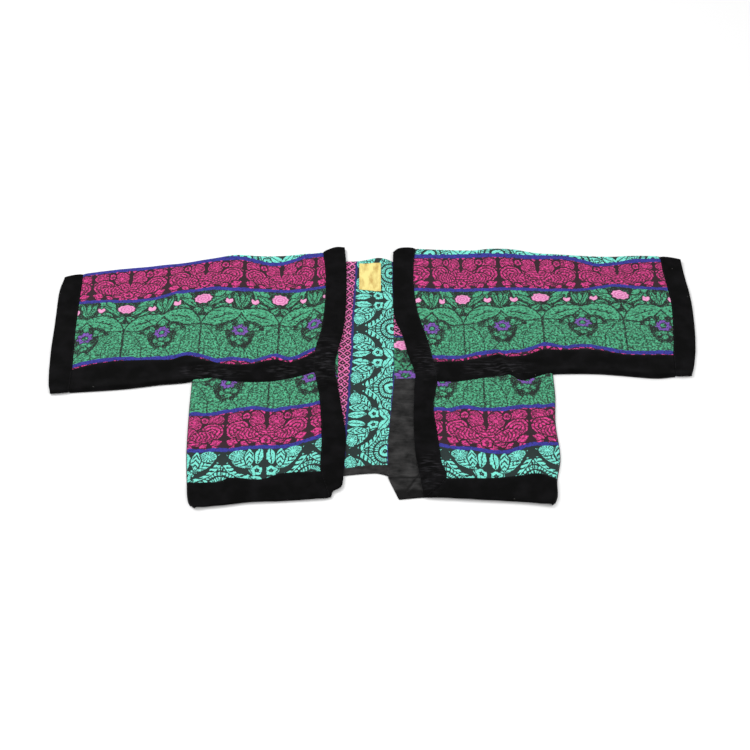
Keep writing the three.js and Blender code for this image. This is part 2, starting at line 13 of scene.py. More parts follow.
import bpy
import numpy as np
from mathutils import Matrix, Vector


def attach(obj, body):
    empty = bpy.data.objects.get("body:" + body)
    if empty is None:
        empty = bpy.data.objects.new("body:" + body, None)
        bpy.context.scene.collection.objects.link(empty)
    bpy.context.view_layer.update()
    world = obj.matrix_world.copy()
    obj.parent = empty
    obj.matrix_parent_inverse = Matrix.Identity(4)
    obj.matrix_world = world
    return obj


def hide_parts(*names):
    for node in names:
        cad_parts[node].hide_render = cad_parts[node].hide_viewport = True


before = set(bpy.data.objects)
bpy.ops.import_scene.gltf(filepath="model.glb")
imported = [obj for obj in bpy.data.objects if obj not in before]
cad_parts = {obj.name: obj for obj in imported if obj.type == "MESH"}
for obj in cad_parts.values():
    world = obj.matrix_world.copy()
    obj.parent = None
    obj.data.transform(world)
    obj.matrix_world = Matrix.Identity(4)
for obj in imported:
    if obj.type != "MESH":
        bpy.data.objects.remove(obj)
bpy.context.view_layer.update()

LOG = logging.getLogger("jacket")

MM = 0.001
TO_MIDDLE = np.array([0.1, 3.3, 0.0])  # puts the middle of the jacket's box over the origin

CLOTH = 1.6  # one layer of tapestry or velvet
LAYER_AIR = 0.8  # between the back and the fronts lying on it
LOFT = 0.7  # how far the fronts stand off the back beyond that
LEAST_AIR = 0.35  # between the layers wherever the back stands up
TURNED_AIR = 0.3  # under an edge that is turned down, and under the label
EDGE_PUFF = 3.2  # how far the fronts stand up along the folded edges
EDGE_PUFF_REACH = 16.0
BAND_CROWN = 2.0  # how far the middle of a velvet band or strip stands up
STRIP_CROWN = 1.1
NECK_TURN = 34.0  # way over which the back's edge runs from the band in to the centre back
SEAM_DIP = 1.0
SEAM_DIP_REACH = 3.6
SEAM_PINCH = 0.45  # thickness left at a seam, as a share
THREAD_LIFT = 0.12  # a stitch's middle over the cloth
GRID = 3.4  # spacing of the mesh on the panels that show
BAND_GRID = 2.8
BACK_GRID = 1.3 * GRID
COARSE_GRID = 7.0
TURN_STEPS = 10
QUARTER_STEPS = 6
QUARTER = math.pi / 2 * np.arange(QUARTER_STEPS, 0, -1) / QUARTER_STEPS  # angles of a turned-down edge
CROWN_SHAPE = 0.6  # below 1 the crown rises fast at its edges
STRIP_LIP = 0.15  # part of the crown's arch that is cut off at the strip's lower edge
BAND_LIP = 0.06  # the same of the band, then the part it keeps and the power of its arch
BAND_ROUND = 0.9
BAND_SHAPE = 0.7
STRIP_SETTLES = 15  # the strip lies flat past one part in this many of the body's width
SHARP_DEGREES = 55
FACING_ROW = 5  # of the sleeve's panel, well clear of its edges
FOLD_SET_BACK = 5.0  # from the shoulder's edge to where its fold is measured
NECK_Y = 330.0  # first guesses of y at the neck, along the sleeves, on the back and in the hems
SHOULDER_Y = 300.0
SLEEVE_Y = 200
CUFF_Y = 150.0
BACK_Y = -100.0
HEM_Y = -330
SIDE_X = 356.0  # and of x at the side seam
CROSSING_ROUNDS = 10  # enough for two slanting lines to settle on their meeting

Field = Callable[[np.ndarray], np.ndarray]


class Wearer(Enum):
    """The side of the jacket, as its wearer names it, and where it lies on X."""

    RIGHT = -1
    LEFT = 1

    @property
    def word(self) -> str:
        """The side's name, as the nodes have it."""
        return self.name.lower()


class Finish(Enum):
    """How an edge of a panel ends."""

    SEAM = "pinched into a seam"
    FOLD = "rounded over"


class Face(Enum):
    """The side of the tapestry that a material shows."""

    RIGHT = "right side"
    WRONG = "wrong side"


# ---------------------------------------------------------------- lines and folds


@dataclass(frozen=True)
class Edge:
    """A line through a few points, carried on straight past its ends."""

    stops: tuple[tuple[float, float], ...]
    straight: bool = False

    def __call__(self, at: np.ndarray | float) -> np.ndarray:
        """Reads the line.

        Args:
            at: where along the line's first column.

        Returns:
            The second column there.
        """
        t, v = np.array(sorted(self.stops), float).T
        s = np.asarray(at, float)
        count = np.arange(len(t))
        k = np.clip(np.searchsorted(t, s, side="right") - 1, 0, len(t) - 2)
        h = t[k + 1] - t[k]
        u = (s - t[k]) / h
        inside = v[k] + u * (v[k + 1] - v[k])
        if self.straight:
            return inside
        before, after = np.maximum(count - 1, 0), np.minimum(count + 1, len(t) - 1)
        slope = (v[after] - v[before]) / (t[after] - t[before])
        chord = (v[k + 1] - v[k]) / h
        inside = inside + h * u * (1 - u) * ((slope[k] - chord) * (1 - u) + (chord - slope[k + 1]) * u)
        low, high = v[0] + (s - t[0]) * slope[0], v[-1] + (s - t[-1]) * slope[-1]
        return np.where(s <= t[0], low, np.where(s >= t[-1], high, inside))


@dataclass(frozen=True)
class Fold:
    """A soft ridge, or a trough where its height is below nothing."""

    x0: float
    y0: float
    x1: float
    y1: float
    height: float
    width: float

    def distance(self, x: np.ndarray, y: np.ndarray) -> np.ndarray:
        """Distance of each point from the fold's line."""
        dx, dy = self.x1 - self.x0, self.y1 - self.y0
        along = ((x - self.x0) * dx + (y - self.y0) * dy) / (dx * dx + dy * dy)
        t = np.clip(along, 0, 1)
        return np.hypot(x - self.x0 - t * dx, y - self.y0 - t * dy)

    def rise(self, x: np.ndarray, y: np.ndarray) -> np.ndarray:
        """Height of the fold over each point."""
        return self.height * np.exp(-((self.distance(x, y) / self.width) ** 2))


def folds(*rows: tuple[float, ...]) -> tuple[Fold, ...]:
    """Makes folds of rows of x0, y0, x1, y1, height and width."""
    return tuple(Fold(*row) for row in rows)


@dataclass(frozen=True)
class Rumple:
    """Smooth random waves over the cloth, the same on every run."""

    seed: int
    wavelength: tuple[float, float]
    height: float
    size: int = 97  # of the square of random numbers, which repeats past its edges

    def rise(self, x: np.ndarray, y: np.ndarray) -> np.ndarray:
        """Height of the waves over each point."""
        lattice = np.random.RandomState(self.seed).standard_normal((self.size, self.size))
        cells = [at / wave + self.size / 2 for at, wave in zip((x, y), self.wavelength)]
        (ix, iy), (fx, fy) = np.floor(cells).astype(int), cells - np.floor(cells)
        sx, sy = (f**3 * (f * (6 * f - 15) + 10) for f in (fx, fy))
        (a, b), (c, d) = (
            [lattice[(ix + right) % self.size, (iy + up) % self.size] for right in (0, 1)] for up in (0, 1)
        )
        low, high = a * (1 - sx) + b * sx, c * (1 - sx) + d * sx
        return self.height * (low * (1 - sy) + high * sy)


# ---------------------------------------------------------------- how each side lies


@dataclass(frozen=True)
class Lay:
    """The edges and stripes of one side, as y of x or x of y."""

    wearer: Wearer
    armpit: float
    top: Edge
    strip_top: Edge
    strip_bottom: Edge
    hem_top: Edge
    hem_bottom: Edge
    back_hem_top: Edge
    back_hem_bottom: Edge
    yoke_back_end: Edge
    cuff_end: Edge
    cuff_seam: Edge
    side: Edge
    band_outer: Edge
    band_inner: Edge
    centre_seam: Edge
    sleeve_stripes: tuple[Edge, Edge, Edge]
    body_stripes: tuple[Edge, Edge]
    sleeve_repeat: Edge
    body_repeat: Edge

    @property
    def sign(self) -> int:
        """Which way the side lies on X."""
        return self.wearer.value

    def flank(self, y: np.ndarray) -> np.ndarray:
        """The side seam's x, carried straight up above the armpit."""
        return self.side(np.minimum(y, self.armpit))

    def column(self, share: np.ndarray, inner: Field) -> Field:
        """A line across the garment's rows.

        Args:
            share: 0 at the cuff seam, 1 at the side seam, 2 at the inner edge.
            inner: the inner edge, x of y.

        Returns:
            The line's x of y.
        """

        def x_of(y: np.ndarray) -> np.ndarray:
            """The line's x at each y."""
            flank = self.flank(y)
            sleeve = self.cuff_seam(y) + (flank - self.cuff_seam(y)) * np.minimum(share, 1)
            return sleeve + (inner(y) - flank) * np.clip(share - 1, 0, 1)

        return x_of


RIGHT = Lay(
    wearer=Wearer.RIGHT,
    armpit=-36,
    top=Edge((
        (-664, 254), (-657, 261), (-618, 270), (-555, 282), (-447, 297), (-365, 314), (-299, 326),
        (-224, 324), (-146, 330), (-112, 337), (-84, 350), (-66, 352),
    )),
    strip_top=Edge((
        (-611, -5), (-576, 8), (-522, 19), (-414, 23), (-381, 34), (-323, 14), (-245, 11), (-204, 21),
        (-170, 15), (-129, 38),
    )),
    strip_bottom=Edge((
        (-649, -71), (-609, -67), (-499, -57), (-429, -46), (-384, -41), (-364, -36), (-329, -29),
        (-299, -36), (-249, -39), (-199, -36), (-159, -26), (-124, -13),
    )),
    hem_top=Edge(((-357, -299), (-295, -296), (-278, -287), (-216, -290), (-179, -276), (-105, -270))),
    hem_bottom=Edge(((-340, -359), (-278, -351), (-241, -345), (-167, -341), (-84, -334))),
    back_hem_top=Edge(((-357, -295), (-74, -275))),
    back_hem_bottom=Edge(((-340, -352), (-167, -334), (-80, -316))),
    yoke_back_end=Edge(((-611, -6), (-367, 12), (-74, -29))),
    cuff_end=Edge(((262, -657), (219, -664), (129, -662), (29, -659), (-49, -652), (-71, -646))),
    cuff_seam=Edge(((271, -620), (179, -619), (79, -616), (-1, -611), (-68, -609))),
    side=Edge((
        (-36, -367), (-119, -367), (-223, -364), (-307, -357), (-334, -354), (-350, -349), (-359, -340),
    )),
    band_outer=Edge((
        (339, -111), (302, -107), (262, -104), (189, -104), (103, -110), (51, -121), (17, -124),
        (-1, -124), (-29, -118), (-85, -109), (-193, -103), (-271, -103), (-334, -87),
    )),
    band_inner=Edge((
        (354, -66), (318, -63), (278, -61), (179, -61), (103, -66), (42, -77), (11, -81), (-20, -80),
        (-50, -75), (-118, -65), (-186, -57), (-270, -60), (-302, -62), (-312, -67), (-318, -79),
        (-334, -84),
    )),
    centre_seam=Edge(((320, -74), (-281, -74), (-320, -82)), straight=True),
    sleeve_stripes=(
        Edge((
            (-618, 265), (-555, 277), (-447, 292), (-365, 309), (-320, 315), (-269, 312), (-229, 301),
            (-199, 301), (-149, 319), (-112, 329),
        )),
        Edge((
            (-617, 185), (-555, 187), (-501, 189), (-447, 201), (-414, 214), (-369, 222), (-336, 229),
            (-286, 223), (-224, 220), (-183, 218), (-142, 222), (-106, 232),
        )),
        Edge((
            (-611, 4), (-576, 15), (-522, 25), (-472, 23), (-414, 28), (-381, 38), (-348, 30),
            (-323, 19), (-286, 25), (-245, 19), (-204, 32), (-170, 23), (-129, 48),
        )),
    ),
    body_stripes=(
        Edge((
            (-366, -130), (-327, -127), (-290, -118), (-253, -111), (-229, -113), (-201, -119),
            (-179, -114), (-142, -105), (-110, -95),
        )),
        Edge((
            (-364, -223), (-315, -218), (-278, -218), (-251, -213), (-216, -209), (-179, -209),
            (-155, -203), (-130, -193), (-108, -182),
        )),
    ),
    sleeve_repeat=Edge((
        (-596, -247.5), (-518, -165), (-439, -82.5), (-360, 0), (-278, 82.5), (-198, 165), (-126, 247.5),
    )),
    body_repeat=Edge(((-374, -165), (-293, -82.5), (-212, 0), (-129, 82.5))),
)

LEFT = Lay(
    wearer=Wearer.LEFT,
    armpit=-18,
    top=Edge((
        (41, 338), (52, 347), (89, 348), (137, 345), (217, 342), (255, 347), (302, 344), (350, 334),
        (397, 329), (482, 323), (563, 325), (614, 323), (656, 315), (664, 308),
    )),
    strip_top=Edge((
        (121, 17), (176, 19), (241, 32), (301, 34), (343, 50), (386, 50), (426, 52), (463, 48), (501, 39),
        (539, 36), (606, 35),
    )),
    strip_bottom=Edge((
        (127, -37), (169, -38), (226, -27), (268, -23), (297, -35), (337, -21), (354, -18), (373, -16),
        (444, -16), (492, -20), (567, -28), (606, -24), (641, -22),
    )),
    hem_top=Edge(((139, -288), (213, -288), (280, -281), (317, -278), (348, -290))),
    hem_bottom=Edge(((95, -333), (132, -335), (194, -339), (280, -345), (337, -352))),
    back_hem_top=Edge(((30, -286), (348, -284))),
    back_hem_bottom=Edge(((46, -337), (95, -332), (194, -334), (337, -346))),
    yoke_back_end=Edge(((41, -29), (90, -27), (361, 12), (606, 29))),
    cuff_end=Edge(((317, 656), (261, 660), (190, 664), (119, 662), (48, 655), (-2, 645), (-22, 638))),
    cuff_seam=Edge(((323, 613), (261, 617), (190, 622), (142, 620), (76, 614), (29, 608), (-23, 606))),
    side=Edge((
        (-18, 360), (-75, 360.5), (-149, 356), (-235, 359), (-292, 349), (-329, 347), (-345, 342),
        (-352, 337),
    )),
    band_outer=Edge((
        (350, 89), (318, 85), (272, 83), (232, 83), (158, 90), (72, 110), (11, 121), (-17, 126),
        (-38, 126), (-105, 117), (-174, 123), (-248, 129), (-288, 137), (-333, 101),
    )),
    band_inner=Edge((
        (345, 44), (333, 41), (278, 40), (207, 40), (140, 43), (88, 59), (32, 70), (-17, 83), (-50, 81),
        (-149, 78), (-223, 80), (-263, 85), (-333, 95),
    )),
    centre_seam=Edge(((311, 40), (-29, 40), (-200, 26), (-286, 26), (-337, 46)), straight=True),
    sleeve_stripes=(
        Edge((
            (89, 327), (160, 325), (236, 326), (302, 323), (373, 320), (416, 315), (449, 306), (482, 298),
            (525, 302), (563, 308), (612, 310),
        )),
        Edge((
            (85, 224), (160, 222), (236, 224), (302, 225), (373, 223), (435, 224), (468, 230), (506, 238),
            (544, 232), (615, 227),
        )),
        Edge((
            (118, 29), (174, 28), (217, 39), (255, 42), (279, 44), (312, 50), (350, 64), (387, 58),
            (425, 62), (463, 55), (501, 45), (539, 42), (608, 41),
        )),
    ),
    body_stripes=(
        Edge((
            (118, -112), (152, -114), (176, -108), (218, -113), (255, -112), (287, -108), (317, -107),
            (358, -103),
        )),
        Edge((
            (127, -203), (159, -212), (194, -216), (226, -222), (255, -222), (280, -213), (305, -204),
            (358, -203),
        )),
    ),
    sleeve_repeat=Edge((
        (62, -125), (119, -82.5), (184, 0), (264, 82.5), (348, 165), (431, 247.5), (517, 330), (597, 412.5),
    )),
    body_repeat=Edge(((136, -82.5), (218, 0), (304, 82.5), (386, 165))),
)

CENTRE_NECK = Edge(((-74, 312), (-39, 312), (-19, 316), (1, 322), (11, 323), (26, 319), (39, 311)))
CENTRE_END = Edge(((-74, -264), (-20, -256), (1, -253), (26, -253)))
CENTRE_HEM = Edge(((-74, -282), (-44, -277), (1, -273), (16, -276), (28, -281)))
CENTRE_STRIPES = (
    Edge((
        (309, -39), (229, -42), (179, -44), (129, -46), (79, -47), (29, -48), (-21, -51), (-71, -52),
        (-121, -55), (-166, -57), (-261, -61),
    )),
    Edge((
        (309, 39), (239, 39), (179, 41), (129, 42), (79, 42), (29, 41), (-21, 39), (-71, 36),
        (-121, 33), (-171, 29), (-221, 26), (-261, 26),
    )),
)
CENTRE_REPEAT = Edge((
    (309, -115), (194, 0), (111, 82.5), (29, 165), (-53, 247.5), (-136, 330), (-219, 412.5),
))

FRONT_FOLDS = folds(
    (206, 115, 250, 30, 4, 10),
    (250, 30, 276, -36, 5, 10),
    (276, -36, 321, -95, 4, 11),
    (352, 92, 548, 90, 3.6, 15),
    (236, 332, 300, 330, 2.6, 18),
    (385, 312, 440, 300, 2.2, 18),
    (545, 306, 606, 308, 3, 18),
    (182, -60, 186, -280, 2, 24),
    (304, -110, 306, -270, 2.4, 24),
    (-300, 318, -276, 236, 3.8, 22),
    (-150, 318, -170, 262, 2.8, 18),
    (-446, 282, -420, 120, 2, 26),
    (-572, 250, -560, 120, 2, 26),
    (-394, 8, -332, 12, 2.6, 9),
    (-230, 10, -160, 30, 2.4, 12),
    (-236, -112, -168, -119, 3.6, 13),
    (-352, -62, -356, -240, 2, 20),
    (-150, -150, -130, -250, 2, 20),
    (-122, 68, -84, 64, 2.8, 7),
    (-124, 10, -86, -8, 3, 8),
    (-116, -28, -82, -46, 2.6, 8),
)
FRONT_CREASES = folds(
    (-118, 58, -80, 55, -1.2, 4),
    (-126, 24, -80, 2, -1.4, 4),
    (-112, -16, -78, -34, -1.2, 4),
    (-120, -1, -84, -22, 1.2, 3.5),
    (-120, 82, -76, 84, 1.3, 5),
    (-392, -6, -330, -2, 1.4, 5),
    (-330, 2, -262, 4, 1.2, 4),
    (-228, -10, -176, 2, 1.0, 4),
    (200, 12, 262, 6, 1.4, 4.5),
    (214, -6, 300, -18, 1.2, 4),
    (296, 20, 352, 24, 1.2, 5),
    (240, 22, 258, -22, -1.2, 4),
    (178, 8, 226, -2, 0.9, 4),
    (262, -60, 322, -118, -1.0, 7),
    (196, 126, 240, 40, -1.1, 7),
    (360, 74, 560, 72, -0.9, 9),
    (-300, 300, -330, 190, -0.9, 12),
    (-226, 300, -206, 220, -1.1, 12),
    (-470, 260, -452, 150, -0.8, 12),
    (460, 296, 492, 262, -1.0, 12),
    (520, 300, 532, 230, 0.9, 12),
    (128, -280, 110, -322, 1.3, 5),
    (-110, -278, -94, -326, 1.0, 5),
)
BACK_FOLDS = folds(
    (-20, 180, 6, -60, 1.4, 18),
    (30, -104, 80, -106, 1.6, 9),
    (28, -206, 84, -196, 2, 10),
    (32, -286, 90, -290, 1.6, 8),
)
BACK_CREASES = folds(
    (40, -46, 80, -48, 1.3, 4),
    (38, -74, 80, -70, 1.2, 4),
    (36, -136, 80, -140, 1.3, 4.5),
    (32, -168, 80, -164, 1.2, 4),
    (26, -232, 80, -236, 1.2, 5),
    (96, -284, 66, -322, 2.6, 4.2),
    (28, -281.5, 92, -280.5, 1.3, 2.6),
    (34, -291, 92, -290, 1.1, 2.6),
    (32, -262, 70, -256, 0.9, 4),
    (-66, -250, 20, -262, 0.8, 4),
)


@dataclass(frozen=True)
class Drape:
    """Heights of the cloth's inner faces over the floor."""

    lays: tuple[Lay, Lay]
    softness: int = 4
    shoulder: tuple[float, float, float] = (64, 606, 20.0)  # start, end and step of its points' x
    parts: int = 13  # points along the underarm, and down the side
    front_rumples: tuple[Rumple, ...] = (
        Rumple(11, (62, 48), 0.7),
        Rumple(12, (24, 19), 0.42),
    )
    back_rumples: tuple[Rumple, ...] = (Rumple(21, (40, 34), 0.16), Rumple(22, (90, 16), 0.14))

    def rims(self) -> list[Fold]:
        """The shoulder, underarm and side seam of both sides, as lines."""
        lines: list[Fold] = []
        for lay in self.lays:
            cuff = float(lay.cuff_end(lay.top(lay.cuff_seam(SLEEVE_Y))))
            along = np.append(np.arange(*(lay.sign * at for at in self.shoulder)), cuff)
            corner = float(lay.cuff_end(lay.strip_bottom(cuff)))
            under = np.linspace(corner, float(lay.side(lay.armpit)), self.parts)
            down = np.linspace(lay.armpit, float(lay.hem_bottom(lay.side(HEM_Y))), self.parts)
            round_x = np.concatenate([under, lay.side(down[1:])])
            round_y = np.concatenate([lay.strip_bottom(under), down[1:]])
            for x, y in ((along, lay.top(along)), (round_x, round_y)):
                lines += [Fold(x[k], y[k], x[k + 1], y[k + 1], 0, 1) for k in range(len(x) - 1)]
        return lines

    def ridges(self, table: Sequence[Fold], x: np.ndarray, y: np.ndarray) -> np.ndarray:
        """Height of soft ridges, where the higher one wins."""
        total = sum(fold.rise(x, y) ** self.softness for fold in table)
        return total ** (1 / self.softness)

    def back(self, x: np.ndarray, y: np.ndarray) -> np.ndarray:
        """Height of the back's inner face."""
        small = sum(crease.rise(x, y) for crease in BACK_CREASES)
        waves = sum(rumple.rise(x, y) for rumple in self.back_rumples)
        return CLOTH + self.ridges(BACK_FOLDS, x, y) + small + np.abs(waves)

    def front(self, x: np.ndarray, y: np.ndarray) -> np.ndarray:
        """Height of the fronts' inner face, folded edges puffed."""
        x, y = np.broadcast_arrays(np.asarray(x, float), np.asarray(y, float))
        nearest = np.full(x.shape, np.inf)
        for line in RIMS:
            nearest = np.minimum(nearest, line.distance(x, y))
        puff = EDGE_PUFF * np.exp(-((nearest / EDGE_PUFF_REACH) ** 2))
        free = LAYER_AIR + LOFT + self.ridges(FRONT_FOLDS, x, y) + puff
        free = free + sum(crease.rise(x, y) for crease in FRONT_CREASES)
        free = free + sum(rumple.rise(x, y) for rumple in self.front_rumples)
        return np.maximum(CLOTH + self.ridges(BACK_FOLDS, x, y) + free, self.back(x, y) + LEAST_AIR)


DRAPE = Drape((RIGHT, LEFT))
RIMS = DRAPE.rims()


def crossing(x_of_y: Field, y_of_x: Field, start: np.ndarray) -> tuple[np.ndarray, np.ndarray]:
    """Where lines across the cloth meet lines along it.

    Args:
        x_of_y: lines across.
        y_of_x: lines along.
        start: a first guess of x.

    Returns:
        The x and y of every meeting.
    """
    x = start
    for _ in range(CROSSING_ROUNDS):
        x = x_of_y(y_of_x(x))
    return x, y_of_x(x)


def between(low: Field, high: Field, share: np.ndarray) -> Field:
    """Lines that lie between two edges, each at its own share of the way."""
    return lambda at: low(at) + (high(at) - low(at)) * share


def shares(length: float, spacing: float) -> np.ndarray:
    """Even shares from 0 to 1 that cut a length into steps of about the spacing."""
    return np.linspace(0, 1, max(2, round(length / spacing)) + 1)


def stack(x: np.ndarray, y: np.ndarray, z: np.ndarray) -> np.ndarray:
    """Points of three arrays of one shape, or shapes that widen to one."""
    return np.stack(np.broadcast_arrays(x, y, z), axis=-1).astype(float)


def half_turn(x: np.ndarray, y: np.ndarray, height: np.ndarray, angle: np.ndarray) -> np.ndarray:
    """Points round a fold across the cloth, from the front layer to the back layer.

    Args:
        x: where the front layer ends.
        y: the same.
        height: height of the front layer there.
        angle: angles round the fold, from nothing at the front; past half a turn the fold faces the hem.

    Returns:
        The points.
    """
    radius = (height - CLOTH) / 2
    return stack(x + 0 * angle, y + radius * np.sin(angle), CLOTH + radius + radius * np.cos(angle))


def turned_down(height: np.ndarray, angle: np.ndarray) -> np.ndarray:
    """Height of an edge that turns down a quarter turn, from its top to just above the back."""
    return height - (height - CLOTH - TURNED_AIR) * (1 - np.cos(angle))


def unit(vectors: np.ndarray) -> np.ndarray:
    """Vectors of length one."""
    return vectors / np.maximum(np.linalg.norm(vectors, axis=-1, keepdims=True), 1e-9)


# ---------------------------------------------------------------- panels


@dataclass
class Panel:
    """A cut piece as a grid of points on the cloth's inner face, before it gets its thickness.

    The grid's first index counts columns and its second counts rows. Its outer face looks up, or down
    where up is false, at the row that facing_row names.
    """

    name: str
    points: np.ndarray
    pattern: np.ndarray
    up: bool = True
    facing_row: int | None = None
    thickness: float = CLOTH
    columns: tuple[Finish, Finish] = (Finish.SEAM, Finish.SEAM)
    rows: tuple[Finish, Finish] = (Finish.SEAM, Finish.SEAM)
    looped: bool = False
    dip: float = 0.0
    round_steps: int = 4

    def directions(self) -> np.ndarray:
        """Unit vectors out of the cloth's face at every grid point."""
        p = self.points
        if self.looped:
            along = np.roll(p, -1, 0) - np.roll(p, 1, 0)
        else:
            along = np.gradient(p, axis=0)
        across = np.gradient(p, axis=1)
        out = unit(np.cross(along, across))
        row = p.shape[1] // 2 if self.facing_row is None else self.facing_row
        known = out[: p.shape[0] // 6] if self.looped else out[:, row]  # a loop starts on its upper side
        if (known[..., 2].mean() > 0) != self.up:
            out = -out
        return out

    def from_edge(self, axis: int, end: int) -> np.ndarray:
        """Distance of every grid point from one edge, along the grid.

        Args:
            axis: 0 for an end of the columns, 1 for an end of the rows.
            end: 0 for the first edge, 1 for the last.

        Returns:
            Distances in millimetres.
        """
        step = np.linalg.norm(np.diff(self.points, axis=axis), axis=-1)
        run = np.concatenate([np.zeros_like(np.take(step, [0], axis)), np.cumsum(step, axis)], axis)
        return run if end == 0 else np.take(run, [-1], axis) - run

    def surfaces(self) -> tuple[np.ndarray, np.ndarray, np.ndarray]:
        """The middle surface, the way out and half the thickness at every grid point."""
        out = self.directions()
        pinch = np.ones(self.points.shape[:2])
        dip = np.zeros(self.points.shape[:2])
        edges = [(1, 0, self.rows[0]), (1, 1, self.rows[1])]
        if not self.looped:
            edges += [(0, 0, self.columns[0]), (0, 1, self.columns[1])]
        for axis, end, finish in edges:
            if finish is Finish.SEAM:
                near = np.exp(-((self.from_edge(axis, end) / SEAM_DIP_REACH) ** 2))
                pinch = np.minimum(pinch, 1 - (1 - SEAM_PINCH) * near)
                dip = np.maximum(dip, near)
        middle = self.points + out * (self.thickness / 2 - self.dip * dip)[..., None]
        return middle, out, self.thickness / 2 * pinch

    def mesh(self, materials: Sequence[bpy.types.Material]) -> bpy.types.Object:
        """Sews the panel: two faces, rounded or pinched edges, a closed mesh.

        Args:
            materials: finishes of the outer face and of the inner face.

        Returns:
            The piece, in metres, in the model's frame.
        """
        layers = (*self.surfaces(), self.pattern)
        if not self.looped:
            layers = self._rounded_ends(*layers)
        ring, marks, ring_uv = self._rings(*layers)
        index = np.arange(ring.shape[0] * ring.shape[1]).reshape(ring.shape[:2])
        here, after = (index, np.roll(index, -1, 0)) if self.looped else (index[:-1], index[1:])
        quads = np.stack([here, np.roll(here, -1, 1), np.roll(after, -1, 1), after], axis=-1)
        faces = quads.reshape(-1, 4).tolist()
        slots = np.broadcast_to(marks, here.shape).ravel().tolist()
        if not self.looped:
            for loop, turn in ((index[0].tolist(), 1), (index[-1].tolist(), -1)):
                caps = [cap[::turn] for cap in self._caps(loop)]
                faces += caps
                slots += [0] * len(caps)
        return self._object(ring.reshape(-1, 3), faces, slots, ring_uv.reshape(-1, 2), materials)

    def _rounded_ends(self, *layers: np.ndarray) -> tuple[np.ndarray, ...]:
        """Adds the columns that round off a folded first or last column.

        Args:
            *layers: the middle surface, the ways out, half the thickness and the pattern.

        Returns:
            The same four, longer by the columns added.
        """
        middle, out, half, pattern = layers
        ends = []
        for end, inward, finish in ((0, 1, self.columns[0]), (-1, -2, self.columns[1])):
            extra = []
            if finish is Finish.FOLD:
                away = unit(middle[end] - middle[inward])
                for angle in np.linspace(0, math.pi / 2, self.round_steps + 1)[1:-1]:
                    shift = away * (half[end] * math.sin(angle))[..., None]
                    extra.append((middle[end] + shift, out[end], half[end] * math.cos(angle), pattern[end]))
            ends.append(extra)
        head, tail = ends[0][::-1], ends[1]
        return tuple(
            np.stack([column[k] for column in head] + list(layer) + [column[k] for column in tail])
            for k, layer in enumerate(layers)
        )

    def _caps(self, loop: list[int]) -> list[list[int]]:
        """Faces that close one end of the piece.

        Args:
            loop: vertex indices round the end: the outer face, any rounded rows, then the inner face.

        Returns:
            Vertex indices of each face.
        """
        rows = self.points.shape[1]
        high = 0 if self.rows[1] is Finish.SEAM else self.round_steps - 1
        last = 2 * rows + high - 1
        caps = [[loop[r], loop[last - r], loop[last - 1 - r], loop[r + 1]] for r in range(rows - 1)]
        if self.rows[1] is Finish.FOLD:
            caps.append(loop[rows - 1 : rows + high + 1][::-1])
        if self.rows[0] is Finish.FOLD:
            caps.append([loop[last], loop[0], *loop[last + 1 :][::-1]])
        return caps

    def line(self, axis: int, end: int, inset: float, outer: bool = True) -> np.ndarray:
        """A line on one of the panel's faces that keeps its distance from an edge.

        Args:
            axis: 0 for an end of the columns, 1 for an end of the rows.
            end: 0 for the first edge, 1 for the last.
            inset: how far the line lies in from the edge.
            outer: whether it lies on the outer face.

        Returns:
            Points in millimetres, just above the face.
        """
        middle, out, half = self.surfaces()
        face = middle + out * ((half + THREAD_LIFT) * (1 if outer else -1))[..., None]
        run = self.from_edge(axis, end)
        if axis == 0:
            face, run = face.transpose(1, 0, 2), run.T
        if end == 1:
            face, run = face[:, ::-1], run[:, ::-1]
        return np.array([
            [np.interp(inset, away, place[:, part]) for part in range(3)]
            for away, place in zip(run[1:-1], face[1:-1])
        ])

    def _rings(
        self, middle: np.ndarray, out: np.ndarray, half: np.ndarray, pattern: np.ndarray
    ) -> tuple[np.ndarray, np.ndarray, np.ndarray]:
        """Cross-sections of the piece, one to a column.

        Args:
            middle: the middle surface.
            out: ways out of it.
            half: half the thickness.
            pattern: the pattern's coordinates.

        Returns:
            Points, the finish of the face after each point, and the pattern at each point.
        """
        offset = out * half[..., None]
        rounds = []
        for end, inward, finish in ((-1, -2, self.rows[1]), (0, 1, self.rows[0])):
            turned = []
            if finish is Finish.FOLD:
                away = unit(middle[:, end] - middle[:, inward])
                for angle in np.linspace(math.pi / 2, -math.pi / 2, self.round_steps + 1)[1:-1]:
                    side = away * (half[:, end] * math.cos(angle))[:, None]
                    turned.append(middle[:, end] + offset[:, end] * math.sin(angle) + side)
            rounds.append(turned if end == -1 else turned[::-1])
        high, low = rounds
        rows = middle.shape[1]
        outer = [middle[:, r] + offset[:, r] for r in range(rows)]
        inner = [middle[:, r] - offset[:, r] for r in range(rows)]
        ring = np.stack([*outer, *high, *inner[::-1], *low], axis=1)
        uv = [pattern[:, r] for r in range(rows)]
        ring_uv = np.stack([*uv, *[uv[-1]] * len(high), *uv[::-1], *[uv[0]] * len(low)], axis=1)
        marks = [0] * (rows + len(high)) + [1] * (rows - 1) + [0] * (1 + len(low))
        return ring, np.array(marks), ring_uv

